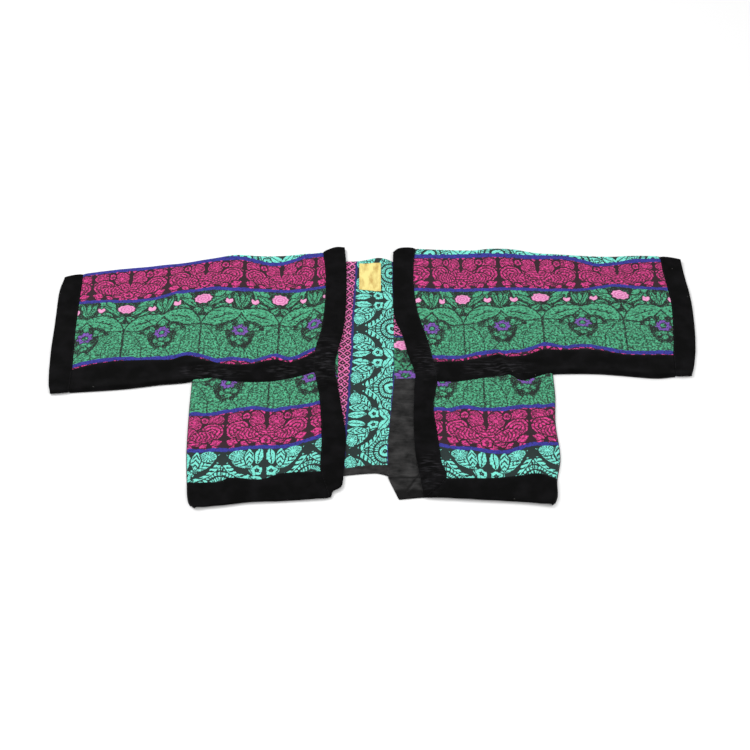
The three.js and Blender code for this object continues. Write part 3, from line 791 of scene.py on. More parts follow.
    def _object(
        self,
        points: np.ndarray,
        faces: Sequence[Sequence[int]],
        slots: Sequence[int],
        uv: np.ndarray,
        materials: Sequence[bpy.types.Material],
    ) -> bpy.types.Object:
        """Makes the Blender object of a closed mesh, with its faces pointing outwards.

        Args:
            points: vertices in millimetres.
            faces: vertex indices.
            slots: each face's material index.
            uv: each vertex's place on the pattern, in millimetres.
            materials: the piece's finishes.

        Returns:
            The object.
        """
        mesh = bpy.data.meshes.new(self.name)
        mesh.from_pydata(((points + TO_MIDDLE) * MM).tolist(), [], faces)
        mesh.update()
        corner = np.zeros(len(mesh.loops), np.int32)
        mesh.loops.foreach_get("vertex_index", corner)
        mesh.uv_layers.new(name="UVMap").data.foreach_set("uv", (uv[corner] * MM).ravel())
        mesh.polygons.foreach_set("material_index", np.array(slots, np.int32))
        for material in materials:
            mesh.materials.append(material)
        volume = sum(face.center.dot(face.normal) * face.area for face in mesh.polygons)
        if volume < 0:
            mesh.flip_normals()
        mesh.polygons.foreach_set("use_smooth", np.ones(len(mesh.polygons), bool))
        mesh.set_sharp_from_angle(angle=math.radians(SHARP_DEGREES))
        piece = bpy.data.objects.new(self.name, mesh)
        bpy.context.scene.collection.objects.link(piece)
        return piece


# ---------------------------------------------------------------- the two sides


@dataclass
class JacketSide:
    """Every piece on one side: sleeve, cuff, strips, front, hem, band and the back's side."""

    lay: Lay
    green_top: float = 104.25  # places of the stripes' middles down the cloth, in millimetres
    green_low: float = 291.75
    turquoise_top: float = 390.75
    edge_stripe: float = 4.75
    back_stripe: float = 89.0  # y of the upper stripe on the back
    back_step: float = 40.0  # how far the pattern on the back has slipped along its bands
    sleeve_width: float = 250.0  # rough sizes, for the spacing of each mesh
    body_width: float = 245.0
    yoke_height: float = 290.0
    yoke_back_height: float = 330.0
    cuff_width: float = 44.0
    cuff_height: float = 310.0
    strip_height: float = 50.0
    strip_back_height: float = 55.0
    front_height: float = 252.0
    hem_height: float = 60.0
    band_width: float = 42.0
    band_height: float = 680.0
    back_size: tuple[float, float] = (400.0, 300.0)
    back_hem_size: tuple[float, float] = (620.0, 88.0)
    hem_cloth: float = 2.2
    band_cloth: float = 2.4

    @property
    def columns_body(self) -> np.ndarray:
        """Shares of the columns from the side seam to the band."""
        return shares(self.body_width, GRID)

    def name(self, piece: str) -> str:
        """The node's name of one of this side's pieces."""
        return f"{piece}_{self.lay.wearer.word}"

    def column_shares(self) -> np.ndarray:
        """Shares of all the columns from the cuff seam, 0, past the side seam, 1, to the band, 2."""
        return np.concatenate([shares(self.sleeve_width, GRID), 1 + self.columns_body[1:]])[:, None]

    def fold_start(self, x: np.ndarray) -> np.ndarray:
        """The y at which the front starts to turn over the shoulder."""
        radius = (DRAPE.front(x, self.lay.top(x) - FOLD_SET_BACK) - CLOTH) / 2
        return self.lay.top(x) - radius - CLOTH

    def neck_line(self, y: np.ndarray) -> np.ndarray:
        """The x of the back's inner edge: from the band at the neck over to the centre back's seam."""
        neck = float(self.fold_start(self.lay.band_outer(NECK_Y)))
        corner = self.lay.band_outer(np.full_like(y, neck))
        return corner + (self.lay.centre_seam(y) - corner) * np.clip((neck - y) / NECK_TURN, 0, 1)

    def over_shoulder(self, x: np.ndarray, y: np.ndarray, extra: np.ndarray | float = 0.0) -> np.ndarray:
        """A half turn from the front layer to the back layer.

        Args:
            x: where the front ends, one number to a column.
            y: the same.
            extra: crown of the front there.

        Returns:
            Points after the front's last, one row of them to a step.
        """
        return half_turn(x, y, DRAPE.front(x, y) + extra, math.pi * np.arange(1, TURN_STEPS + 1) / TURN_STEPS)

    def sleeve_band(self, x: np.ndarray, y: np.ndarray) -> np.ndarray:
        """Place down the cloth of points on the front of the sleeve and shoulder."""
        first, second, third = (stripe(x) for stripe in self.lay.sleeve_stripes)
        edge = self.edge_stripe
        upper = edge + (first - y) * (self.green_top - edge) / (first - second)
        lower = self.green_top + (second - y) * (self.green_low - self.green_top) / (second - third)
        down = np.where(y > second, upper, lower)
        down = np.where(y < third, self.green_low + third - y, down)
        return np.where(y > first, edge + (first - y), down)

    def body_band(self, x: np.ndarray, y: np.ndarray) -> np.ndarray:
        """Place down the cloth of points on the lower front."""
        first, second = (stripe(x) for stripe in self.lay.body_stripes)
        between = self.green_low + (first - y) * (self.turquoise_top - self.green_low) / (first - second)
        down = np.where(y > first, self.green_low + first - y, between)
        return np.where(y < second, self.turquoise_top + second - y, down)

    def yoke_sleeve(self) -> Panel:
        """Sleeve, shoulder and upper back in one: up the front, over the shoulder, down the back."""
        lay = self.lay
        column = self.column_shares()
        front_x = lay.column(column, lay.band_outer)
        share = shares(self.yoke_height, GRID)[None]
        rows = between(lay.strip_top, self.fold_start, share)
        x, y = crossing(front_x, rows, front_x(np.full_like(column, CUFF_Y)) + 0 * share)
        front = stack(x, y, DRAPE.front(x, y))
        fold_x, fold_y = x[:, -1:], y[:, -1:]
        turn = self.over_shoulder(fold_x, fold_y)
        down = shares(self.yoke_back_height, COARSE_GRID)[None, 1:]
        back_rows = between(lambda _: fold_y, lay.yoke_back_end, down)
        back_x, back_y = crossing(lay.column(column, self.neck_line), back_rows, fold_x + 0 * down)
        back = stack(back_x, back_y, DRAPE.back(back_x, back_y))
        first = self.sleeve_band(x, y)
        steps = np.diff(np.concatenate([front[:, -1:], turn], 1), axis=1)
        over = first[:, -1:] - np.cumsum(np.linalg.norm(steps, axis=-1), axis=1)
        settled = self.green_top + self.back_stripe - back_y
        mix = np.clip((fold_y - back_y) / (2 * NECK_TURN), 0, 1)
        behind = over[:, -1:] * (1 - mix) + settled * mix
        place = np.concatenate([first, over, behind], 1)
        points = np.concatenate([front, turn, back], 1)
        slip = np.concatenate([0 * first, 0 * over, self.back_step * mix], 1)
        pattern = np.stack([lay.sleeve_repeat(points[..., 0]) - slip, place], -1)
        return Panel(self.name("yoke_sleeve"), points, pattern, facing_row=FACING_ROW, dip=SEAM_DIP)

    def cuff(self) -> Panel:
        """Velvet ring at the sleeve's end, flattened, its outer edge folded."""
        lay = self.lay
        across = shares(self.cuff_width, GRID)[:, None]
        x_of = between(lay.cuff_end, lay.cuff_seam, across)
        start = x_of(np.full_like(across, CUFF_Y))
        _, top = crossing(x_of, self.fold_start, start)
        low_x, low = crossing(x_of, lay.strip_bottom, start)
        radius = (DRAPE.front(low_x, low + EDGE_PUFF) - CLOTH) / 2
        low = low + radius + CLOTH
        y = low + (top - low) * shares(self.cuff_height, GRID)[None]
        x = x_of(y)
        crown = STRIP_CROWN * np.sin(math.pi * across)
        front = stack(x, y, DRAPE.front(x, y) + crown)
        over = self.over_shoulder(x[:, -1:], y[:, -1:], crown)
        down = y[:, ::-1][:, 1:]
        back = stack(x_of(down), down, DRAPE.back(x_of(down), down))
        angle = math.pi * (1 + np.arange(1, TURN_STEPS) / TURN_STEPS)
        under = half_turn(x[:, :1], low, front[:, :1, 2], angle)
        loop = np.concatenate([front, over, back, under], 1).transpose(1, 0, 2)
        rows = (Finish.FOLD, Finish.SEAM)
        return Panel(self.name("cuff"), loop, loop[..., :2], rows=rows, looped=True, dip=SEAM_DIP)

    def strip(self) -> Panel:
        """Velvet strip across the front and under the sleeve, turned down at the underarm."""
        lay = self.lay
        column = self.column_shares()
        x_of = lay.column(column, lay.band_outer)
        start = x_of(np.zeros_like(column))
        edge_x, edge_y = crossing(x_of, lay.strip_bottom, start)
        radius = DRAPE.front(edge_x, edge_y + EDGE_PUFF) - CLOTH - TURNED_AIR
        flat_y = edge_y + CLOTH + radius
        share = shares(self.strip_height, GRID)[None]
        x, y = crossing(x_of, between(lambda _: flat_y, lay.strip_top, share), start + 0 * share)
        crown = STRIP_CROWN * np.sin(math.pi * (STRIP_LIP + (1 - STRIP_LIP) * share)) ** CROWN_SHAPE
        top = stack(x, y, DRAPE.front(x, y) + crown)
        curl_z = turned_down(top[:, :1, 2], QUARTER)
        curl = stack(edge_x + 0 * QUARTER, flat_y - radius * np.sin(QUARTER), curl_z)
        lying_y = edge_y + (flat_y - edge_y) * (1 - QUARTER / (math.pi / 2))
        lying_x = x_of(lying_y)
        lying = stack(lying_x, lying_y, DRAPE.front(lying_x, lying_y) + crown[:, :1])
        on_body = np.clip((column - 1) * STRIP_SETTLES, 0, 1)[..., None]
        turn = curl * (1 - on_body) + lying * on_body
        points = np.concatenate([turn, top], 1)
        return Panel(self.name("underarm_front"), points, points[..., :2], dip=SEAM_DIP)

    def underarm_back(self) -> Panel:
        """Back half of the underarm strip, from the cuff to the side seam."""
        lay = self.lay
        column = shares(self.sleeve_width, COARSE_GRID)[:, None]
        x_of = lay.column(column, lay.band_outer)
        share = shares(self.strip_back_height, COARSE_GRID)[None]
        rows = between(lay.strip_bottom, lay.yoke_back_end, share)
        x, y = crossing(x_of, rows, x_of(np.zeros_like(column)) + 0 * share)
        points = stack(x, y, DRAPE.back(x, y))
        return Panel(self.name("underarm_back"), points, points[..., :2], up=False)

    def _lower_front(self, name: str, low: Field, high: Field, height: float, crown: float) -> Panel:
        """A front's piece below the strip, turned down at the side seam.

        Args:
            name: the piece.
            low: its lower edge, y of x.
            high: its upper edge, y of x.
            height: about its height.
            crown: how far its middle stands up.

        Returns:
            The panel, its pattern still to be placed.
        """
        lay = self.lay
        share = shares(height, GRID)[None]
        rows = between(low, high, share)
        edge_x, edge_y = crossing(lay.flank, rows, np.full_like(share, lay.sign * SIDE_X))
        radius = DRAPE.front(edge_x - lay.sign * EDGE_PUFF, edge_y) - CLOTH - TURNED_AIR
        flat_x = edge_x - lay.sign * (radius + CLOTH)
        begin = (flat_x - edge_x) / (lay.band_outer(edge_y) - edge_x)
        column = 1 + begin + (1 - begin) * self.columns_body[:, None]
        x, y = crossing(lay.column(column, lay.band_outer), rows, flat_x + 0 * column)
        rise = crown * np.sin(math.pi * share) ** CROWN_SHAPE
        flat = stack(x, y, DRAPE.front(x, y) + rise)
        angle = QUARTER[:, None]
        turn_x = flat_x + lay.sign * radius * np.sin(angle)
        slope = (edge_y - y[:1]) / (edge_x - x[:1])
        turn = stack(turn_x, y[:1] + slope * (turn_x - x[:1]), turned_down(flat[:1, :, 2], angle))
        points = np.concatenate([turn, flat], 0)
        return Panel(self.name(name), points, points[..., :2], dip=SEAM_DIP)

    def front(self) -> Panel:
        """Lower front of tapestry."""
        lay = self.lay
        panel = self._lower_front("front", lay.hem_top, lay.strip_bottom, self.front_height, 0.0)
        x, y = panel.points[..., 0], panel.points[..., 1]
        panel.pattern = np.stack([lay.body_repeat(x), self.body_band(x, y)], -1)
        return panel

    def front_hem(self) -> Panel:
        """Velvet hem of the front, mitred into the band."""
        lay = self.lay
        panel = self._lower_front("front_hem", lay.hem_bottom, lay.hem_top, self.hem_height, STRIP_CROWN)
        panel.rows = (Finish.FOLD, Finish.SEAM)
        panel.thickness = self.hem_cloth
        return panel

    def front_band(self) -> Panel:
        """Velvet band of the front opening, over the shoulder, its free edge folded."""
        lay = self.lay
        across = shares(self.band_width, BAND_GRID)[None]
        x_of = between(lay.band_outer, lay.band_inner, across)
        _, low = crossing(x_of, lay.hem_bottom, x_of(np.zeros_like(across)))
        _, top = crossing(x_of, self.fold_start, x_of(np.full_like(across, SHOULDER_Y)))
        y = low + (top - low) * shares(self.band_height, GRID)[:, None]
        x = x_of(y)
        crown = BAND_CROWN * np.sin(math.pi * (BAND_LIP + BAND_ROUND * across)) ** BAND_SHAPE
        front = stack(x, y, DRAPE.front(x, y) + crown)
        angle = (math.pi * np.arange(1, TURN_STEPS + 1) / TURN_STEPS)[:, None]
        over = half_turn(x[-1:], y[-1:], front[-1:, :, 2], angle)
        points = np.concatenate([front, over], 0)
        return Panel(
            self.name("front_band"), points, points[..., :2], thickness=self.band_cloth, dip=SEAM_DIP,
            rows=(Finish.SEAM, Finish.FOLD),
        )

    def back_side(self) -> Panel:
        """Lower side of the back."""
        lay = self.lay
        edges = (lay.flank, lay.centre_seam, lay.back_hem_top, lay.yoke_back_end)
        return back_panel(self.name("back_side"), *edges, self.back_size)

    def back_hem(self) -> Panel:
        """Hem of the back's side."""
        lay = self.lay
        edges = (lay.flank, lay.centre_seam, lay.back_hem_bottom, lay.back_hem_top)
        panel = back_panel(self.name("back_hem"), *edges, self.back_hem_size)
        panel.rows = (Finish.FOLD, Finish.SEAM)
        return panel

    def panels(self) -> dict[str, Panel]:
        """All of this side's panels, by the piece's plain name."""
        return {
            "yoke_sleeve": self.yoke_sleeve(), "cuff": self.cuff(), "underarm_front": self.strip(),
            "underarm_back": self.underarm_back(), "front": self.front(), "front_hem": self.front_hem(),
            "front_band": self.front_band(), "back_side": self.back_side(), "back_hem": self.back_hem(),
        }


def back_panel(
    name: str, outer: Field, inner: Field, low: Field, high: Field, size: tuple[float, float]
) -> Panel:
    """A flat panel of the back between two edges x of y and two edges y of x.

    Args:
        name: the piece.
        outer: its outer edge.
        inner: its inner edge.
        low: its lower edge.
        high: its upper edge.
        size: about its width and height.

    Returns:
        The panel, its inner face up.
    """
    across = shares(size[0], BACK_GRID)[:, None]
    up = shares(size[1], BACK_GRID)[None]
    x_of = between(outer, inner, across)
    x, y = crossing(x_of, between(low, high, up), x_of(np.full_like(across, BACK_Y)) + 0 * up)
    points = stack(x, y, DRAPE.back(x, y))
    return Panel(name, points, points[..., :2], up=False)


# ---------------------------------------------------------------- the centre back and the label


@dataclass(frozen=True)
class CentreBack:
    """The centre back, its bands upright and its wrong side up, with its hem and the label."""

    magenta_stripe: float = 390.75  # place down the cloth of the stripe on the wearer's right
    far_stripe: float = 485.75
    body_size: tuple[float, float] = (110.0, 570.0)  # rough sizes, for the spacing of each mesh
    hem_size: tuple[float, float] = (100.0, 26.0)
    label_corners: tuple[tuple[float, float], ...] = ((-32, 226), (13, 219), (13, 307), (-32, 302))
    label_grid: tuple[int, int] = (25, 41)
    label_cloth: float = 1.0
    label_curls: tuple[float, float] = (2.4, 1.8)  # rise of its upper and lower corners that curl
    curl_spread: float = 0.03

    def band(self, x: np.ndarray, y: np.ndarray) -> np.ndarray:
        """Place down the cloth of points on the centre back."""
        left, right = (stripe(y) for stripe in CENTRE_STRIPES)
        across = self.magenta_stripe + (x - left) * (self.far_stripe - self.magenta_stripe) / (right - left)
        across = np.where(x < left, self.magenta_stripe + x - left, across)
        return np.where(x > right, self.far_stripe + x - right, across)

    def _between_seams(self, name: str, low: Field, high: Field, size: tuple[float, float]) -> Panel:
        """A panel from one centre seam to the other, between two edges y of x."""
        return back_panel(name, RIGHT.centre_seam, LEFT.centre_seam, low, high, size)

    def body(self) -> Panel:
        """Centre back from neck to hem seam."""
        panel = self._between_seams("back_centre", CENTRE_END, CENTRE_NECK, self.body_size)
        x, y = panel.points[..., 0], panel.points[..., 1]
        panel.pattern = np.stack([CENTRE_REPEAT(y), self.band(x, y)], -1)
        panel.rows = (Finish.SEAM, Finish.FOLD)
        return panel

    def hem(self) -> Panel:
        """Centre back's hem."""
        panel = self._between_seams("back_hem_centre", CENTRE_HEM, CENTRE_END, self.hem_size)
        panel.rows = (Finish.FOLD, Finish.SEAM)
        return panel

    def label(self) -> Panel:
        """Blank satin label below the neck, its corners curling a little."""
        u = np.linspace(0, 1, self.label_grid[0])[:, None]
        v = np.linspace(0, 1, self.label_grid[1])[None]
        low_left, low_right, top_right, top_left = (np.array(c, float) for c in self.label_corners)
        wide, tall = u[..., None], v[..., None]
        bottom = low_left * (1 - wide) + low_right * wide
        top = top_left * (1 - wide) + top_right * wide
        place = bottom * (1 - tall) + top * tall
        x, y = place[..., 0], place[..., 1]
        curl = self.label_curls[0] * np.exp(-(u**2 + (1 - v) ** 2) / self.curl_spread)
        curl = curl + self.label_curls[1] * np.exp(-((1 - u) ** 2 + v**2) / self.curl_spread)
        wave = 0.5 * np.sin(3.1 * u + 5.2 * v + 0.6) ** 2 + 0.7 * np.exp(-(((u - 0.62) / 0.1) ** 2))
        z = DRAPE.back(x, y) + TURNED_AIR + curl + wave
        return Panel(
            "label", stack(x, y, z), np.stack([x, y], -1), thickness=self.label_cloth,
            columns=(Finish.FOLD, Finish.FOLD), rows=(Finish.FOLD, Finish.FOLD), round_steps=3,
        )


# ---------------------------------------------------------------- shader sums


def linear(code: str) -> tuple[float, float, float, float]:
    """Turns a hex colour into the numbers that a shader takes."""
    parts = [int(code[k : k + 2], 16) / 255 for k in (0, 2, 4)]
    return (*[c / 12.92 if c <= 0.04045 else ((c + 0.055) / 1.055) ** 2.4 for c in parts], 1.0)


class Wire:
    """A socket that takes part in sums: each operator adds its Math node."""

    def __init__(self, bench: "Bench", socket: bpy.types.NodeSocket) -> None:
        """Keeps the bench that adds nodes, and the socket."""
        self.bench = bench
        self.socket = socket

    def math(self, operation: str, *others: "Wire | float") -> "Wire":
        """Adds one Math node, with this wire as its first value."""
        return self.bench.node("ShaderNodeMath", dict(enumerate((self, *others))), operation=operation)

    def clamp(self) -> "Wire":
        """This, held between 0 and 1."""
        return (self | 0.0) & 1.0

    def __add__(self, other: "Wire | float") -> "Wire":
        """Sum."""
        return self.math("ADD", other)

    __radd__ = __add__

    def __sub__(self, other: "Wire | float") -> "Wire":
        """Difference."""
        return self.math("SUBTRACT", other)

    def __rsub__(self, other: float) -> "Wire":
        """A number less this."""
        return self.bench.node("ShaderNodeMath", {0: other, 1: self}, operation="SUBTRACT")

    def __mul__(self, other: "Wire | float") -> "Wire":
        """Product."""
        return self.math("MULTIPLY", other)

    __rmul__ = __mul__

    def __truediv__(self, other: "Wire | float") -> "Wire":
        """Quotient."""
        return self.math("DIVIDE", other)

    def __neg__(self) -> "Wire":
        """This, below nothing."""
        return self * -1.0

    def __abs__(self) -> "Wire":
        """Size without sign."""
        return self.math("ABSOLUTE")

    def __mod__(self, other: float) -> "Wire":
        """What is left after whole repeats, never below nothing."""
        return self.math("FLOORED_MODULO", other)

    def __gt__(self, other: "Wire | float") -> "Wire":
        """1 where this is greater."""
        return self.math("GREATER_THAN", other)

    def __lt__(self, other: "Wire | float") -> "Wire":
        """1 where this is less."""
        return self.math("LESS_THAN", other)

    def __or__(self, other: "Wire | float") -> "Wire":
        """The greater of the two."""
        return self.math("MAXIMUM", other)

    def __and__(self, other: "Wire | float") -> "Wire":
        """The less of the two."""
        return self.math("MINIMUM", other)

    def sin(self) -> "Wire":
        """Sine."""
        return self.math("SINE")

    def root(self) -> "Wire":
        """Square root."""
        return self.math("SQRT")


class Bench:
    """Adds nodes to one material."""

    def __init__(self, name: str) -> None:
        """Makes the material, with its Principled shader and output."""
        self.material = bpy.data.materials.new(name)
        self.material.use_nodes = True
        self.tree = self.material.node_tree
        self.tree.nodes.clear()
        self.shader = self.tree.nodes.new("ShaderNodeBsdfPrincipled")
        output = self.tree.nodes.new("ShaderNodeOutputMaterial")
        self.tree.links.new(self.shader.outputs[0], output.inputs[0])

    def node(self, kind: str, values: dict | None = None, output: int | str = 0, **settings: object) -> Wire:
        """Adds a node.

        Args:
            kind: the node's type.
            values: a value or wire for each socket, by its place or name.
            output: the socket to give back.
            **settings: the node's own settings, set first; stops are a ramp's places and colours.

        Returns:
            The output.
        """
        made = self.tree.nodes.new(kind)
        stops = settings.pop("stops", None)
        for key, value in settings.items():
            setattr(made, key, value)
        if stops:
            while len(made.color_ramp.elements) < len(stops):
                made.color_ramp.elements.new(0.5)
            for element, (place, colour) in zip(made.color_ramp.elements, stops):
                element.position, element.color = place, colour
        for key, value in (values or {}).items():
            self.plug(made.inputs[key], value)
        return Wire(self, made.outputs[output])

    def plug(self, socket: bpy.types.NodeSocket, value: object) -> None:
        """Links a wire to a socket, or sets its value."""
        if isinstance(value, Wire):
            self.tree.links.new(value.socket, socket)
        else:
            socket.default_value = value

    def mix(self, share: Wire | float, low: object, high: object) -> Wire:
        """A colour between two colours."""
        return self.node("ShaderNodeMix", {0: share, 6: low, 7: high}, 2, data_type="RGBA")

    def shade(self, colour: Wire, by: Wire | float) -> Wire:
        """A colour made darker or lighter by a number, or a place scaled by it."""
        return self.node("ShaderNodeVectorMath", {0: colour, "Scale": by}, operation="SCALE")

    def hue(self, code: str) -> Wire:
        """A hex colour as a wire."""
        return self.mix(0.0, linear(code), linear(code))

    def parts(self, place: Wire) -> tuple[Wire, Wire]:
        """A place's first two numbers."""
        split = self.tree.nodes.new("ShaderNodeSeparateXYZ")
        self.plug(split.inputs[0], place)
        return Wire(self, split.outputs[0]), Wire(self, split.outputs[1])

    def noise(self, place: Wire, size: float, detail: float = 2.0) -> Wire:
        """Soft noise from 0 to 1, its blotches about as wide as size in the place's unit."""
        return self.node("ShaderNodeTexNoise", {"Vector": place, "Scale": 1 / size, "Detail": detail})

    def scatter(self, place: Wire, cell: tuple[float, float]) -> Wire:
        """A random number from 0 to 1 for each cell."""
        snapped = self.node("ShaderNodeVectorMath", {0: place, 1: (*cell, 1.0)}, operation="SNAP")
        return self.node("ShaderNodeTexWhiteNoise", {"Vector": snapped}, noise_dimensions="3D")

    def bump(self, height: Wire, strength: float, distance: float) -> None:
        """Feeds a height through a Bump node to the shader's normal."""
        values = {"Strength": strength, "Distance": distance, "Height": height}
        self.plug(self.shader.inputs["Normal"], self.node("ShaderNodeBump", values))

    def constant(self, **sockets: object) -> None:
        """Sets sockets that are the same all over the surface, by names with _ for spaces."""
        for key, value in sockets.items():
            self.shader.inputs[key.replace("_", " ")].default_value = value

    def cloth_place(self) -> Wire:
        """The piece's own place on the cut cloth, in millimetres."""
        return self.shade(self.node("ShaderNodeUVMap", uv_map="UVMap"), 1 / MM)

    def object_place(self) -> tuple[Wire, Wire]:
        """Where the piece lies across and up the jacket, in metres."""
        return self.parts(self.node("ShaderNodeTexCoord", output="Object"))

    def stretched(self, place: Wire, across: float, up: float) -> Wire:
        """A place with its first two numbers scaled, which draws a pattern out."""
        return self.node("ShaderNodeVectorMath", {0: place, 1: (across, up, 1.0)}, operation="MULTIPLY")

    def finish(self, colour: Wire | tuple, **sockets: object) -> bpy.types.Material:
        """Plugs in the colour and the even sockets, and gives the material back."""
        self.plug(self.shader.inputs["Base Color"], colour)
        self.constant(**sockets)
        return self.material


# ---------------------------------------------------------------- the tapestry's figures


@dataclass
class Loom:
    """Weaves one band's figures: bright shapes with dark outlines, on a half repeat.

    A place is how far it is from the repeat's main axis, and how far down the band.
    """

    bench: Bench
    place: Wire
    figure: Wire | float
    outline: float = 2.2
    line_depth: float = 1.0

    def level(self, across: float, down: float, start: float) -> Wire:
        """A number that grows evenly over the band."""
        values = {0: self.place, 1: (across, down, start)}
        return self.bench.node("ShaderNodeVectorMath", values, "Value", operation="DOT_PRODUCT")

    def _lay(self, room: Wire, margin: float, bright: bool) -> None:
        """Puts a shape over the figure.

        Args:
            room: above nothing inside the shape.
            margin: how far below nothing its outline reaches.
            bright: whether it is bright, with a dark outline, or a dark gap.
        """
        outside = room < -margin
        self.figure = outside * self.figure
        if bright:
            self.figure = self.figure + (room > 0.0)

    def _line(self, lines: Wire, within: Wire) -> None:
        """Draws lines in a shape, as dark as the band's lines are."""
        self.figure = (1.0 - self.line_depth * (lines * within)) * self.figure

    def leaf(
        self,
        base: tuple[float, float],
        tip: tuple[float, float],
        half: float,
        bend: float = 0.0,
        bright: bool = True,
        veins: float = 0.0,
        rib: bool = False,
    ) -> Wire:
        """A pointed leaf.

        Args:
            base: where it starts.
            tip: where it ends.
            half: half its width.
            bend: how far its middle is moved aside, in half widths.
            bright: bright, or a dark gap.
            veins: how many veins cross it.
            rib: whether a dark rib runs down it.

        Returns:
            How far inside each place is: nothing at the edge.
        """
        dx, dy = tip[0] - base[0], tip[1] - base[1]
        length = math.hypot(dx, dy)
        ux, uy = dx / length, dy / length
        along = self.level(ux / length, uy / length, -(base[0] * ux + base[1] * uy) / length)
        aside = self.level(-uy / half, ux / half, (base[0] * uy - base[1] * ux) / half)
        room = along * (1.0 - along) * 4.0
        if bend:
            aside = aside - room * bend
        aside = abs(aside)
        inside = room - aside
        self._lay(inside, self.outline / half, bright)
        if veins:
            stripes = ((along * veins + aside * 1.1) * math.tau).sin() > 0.35
            self._line(stripes, inside > 0.12)
        if rib:
            self._line(aside < 1.0 / half, inside > 0.1)
        return inside

    def oval(
        self,
        centre: tuple[float, float],
        radii: tuple[float, float],
        bright: bool = True,
        rings: float = 0.0,
        spokes: float = 0.0,
        petals: int = 0,
        frill: float = 0.13,
    ) -> Wire:
        """An oval.

        Args:
            centre: its middle.
            radii: half its width and height.
            bright: bright, or a dark gap.
            rings: how many dark rings lie in it.
            spokes: how many dark lines spread from its middle.
            petals: how many petals its edge has.
            frill: how far its petals stand out.

        Returns:
            How far each place is from the middle: 1 at the edge.
        """
        x = self.level(1 / radii[0], 0.0, -centre[0] / radii[0])
        y = self.level(0.0, 1 / radii[1], -centre[1] / radii[1])
        out = (x * x + y * y).root()
        turn = y.math("ARCTAN2", x) if spokes or petals else 0.0
        if petals:
            out = out * (1.0 + frill * (turn * petals).sin())
        self._lay(1.0 - out, self.outline / min(radii), bright)
        if rings:
            self._line(((out * rings) * math.tau).sin() > 0.45, out < 0.9)
        if spokes:
            self._line((turn * spokes).sin() > 0.4, (out < 0.92) * (out > 0.3))
        return out

    def gap(self, axis: float, half: float, top: float, bottom: float) -> None:
        """A dark upright bar."""
        near = abs(self.level(1.0, 0.0, -axis)) < half
        tall = (self.level(0.0, 1.0, -top) > 0.0) * (self.level(0.0, 1.0, -bottom) < 0.0)
        self.figure = (1.0 - near * tall) * self.figure


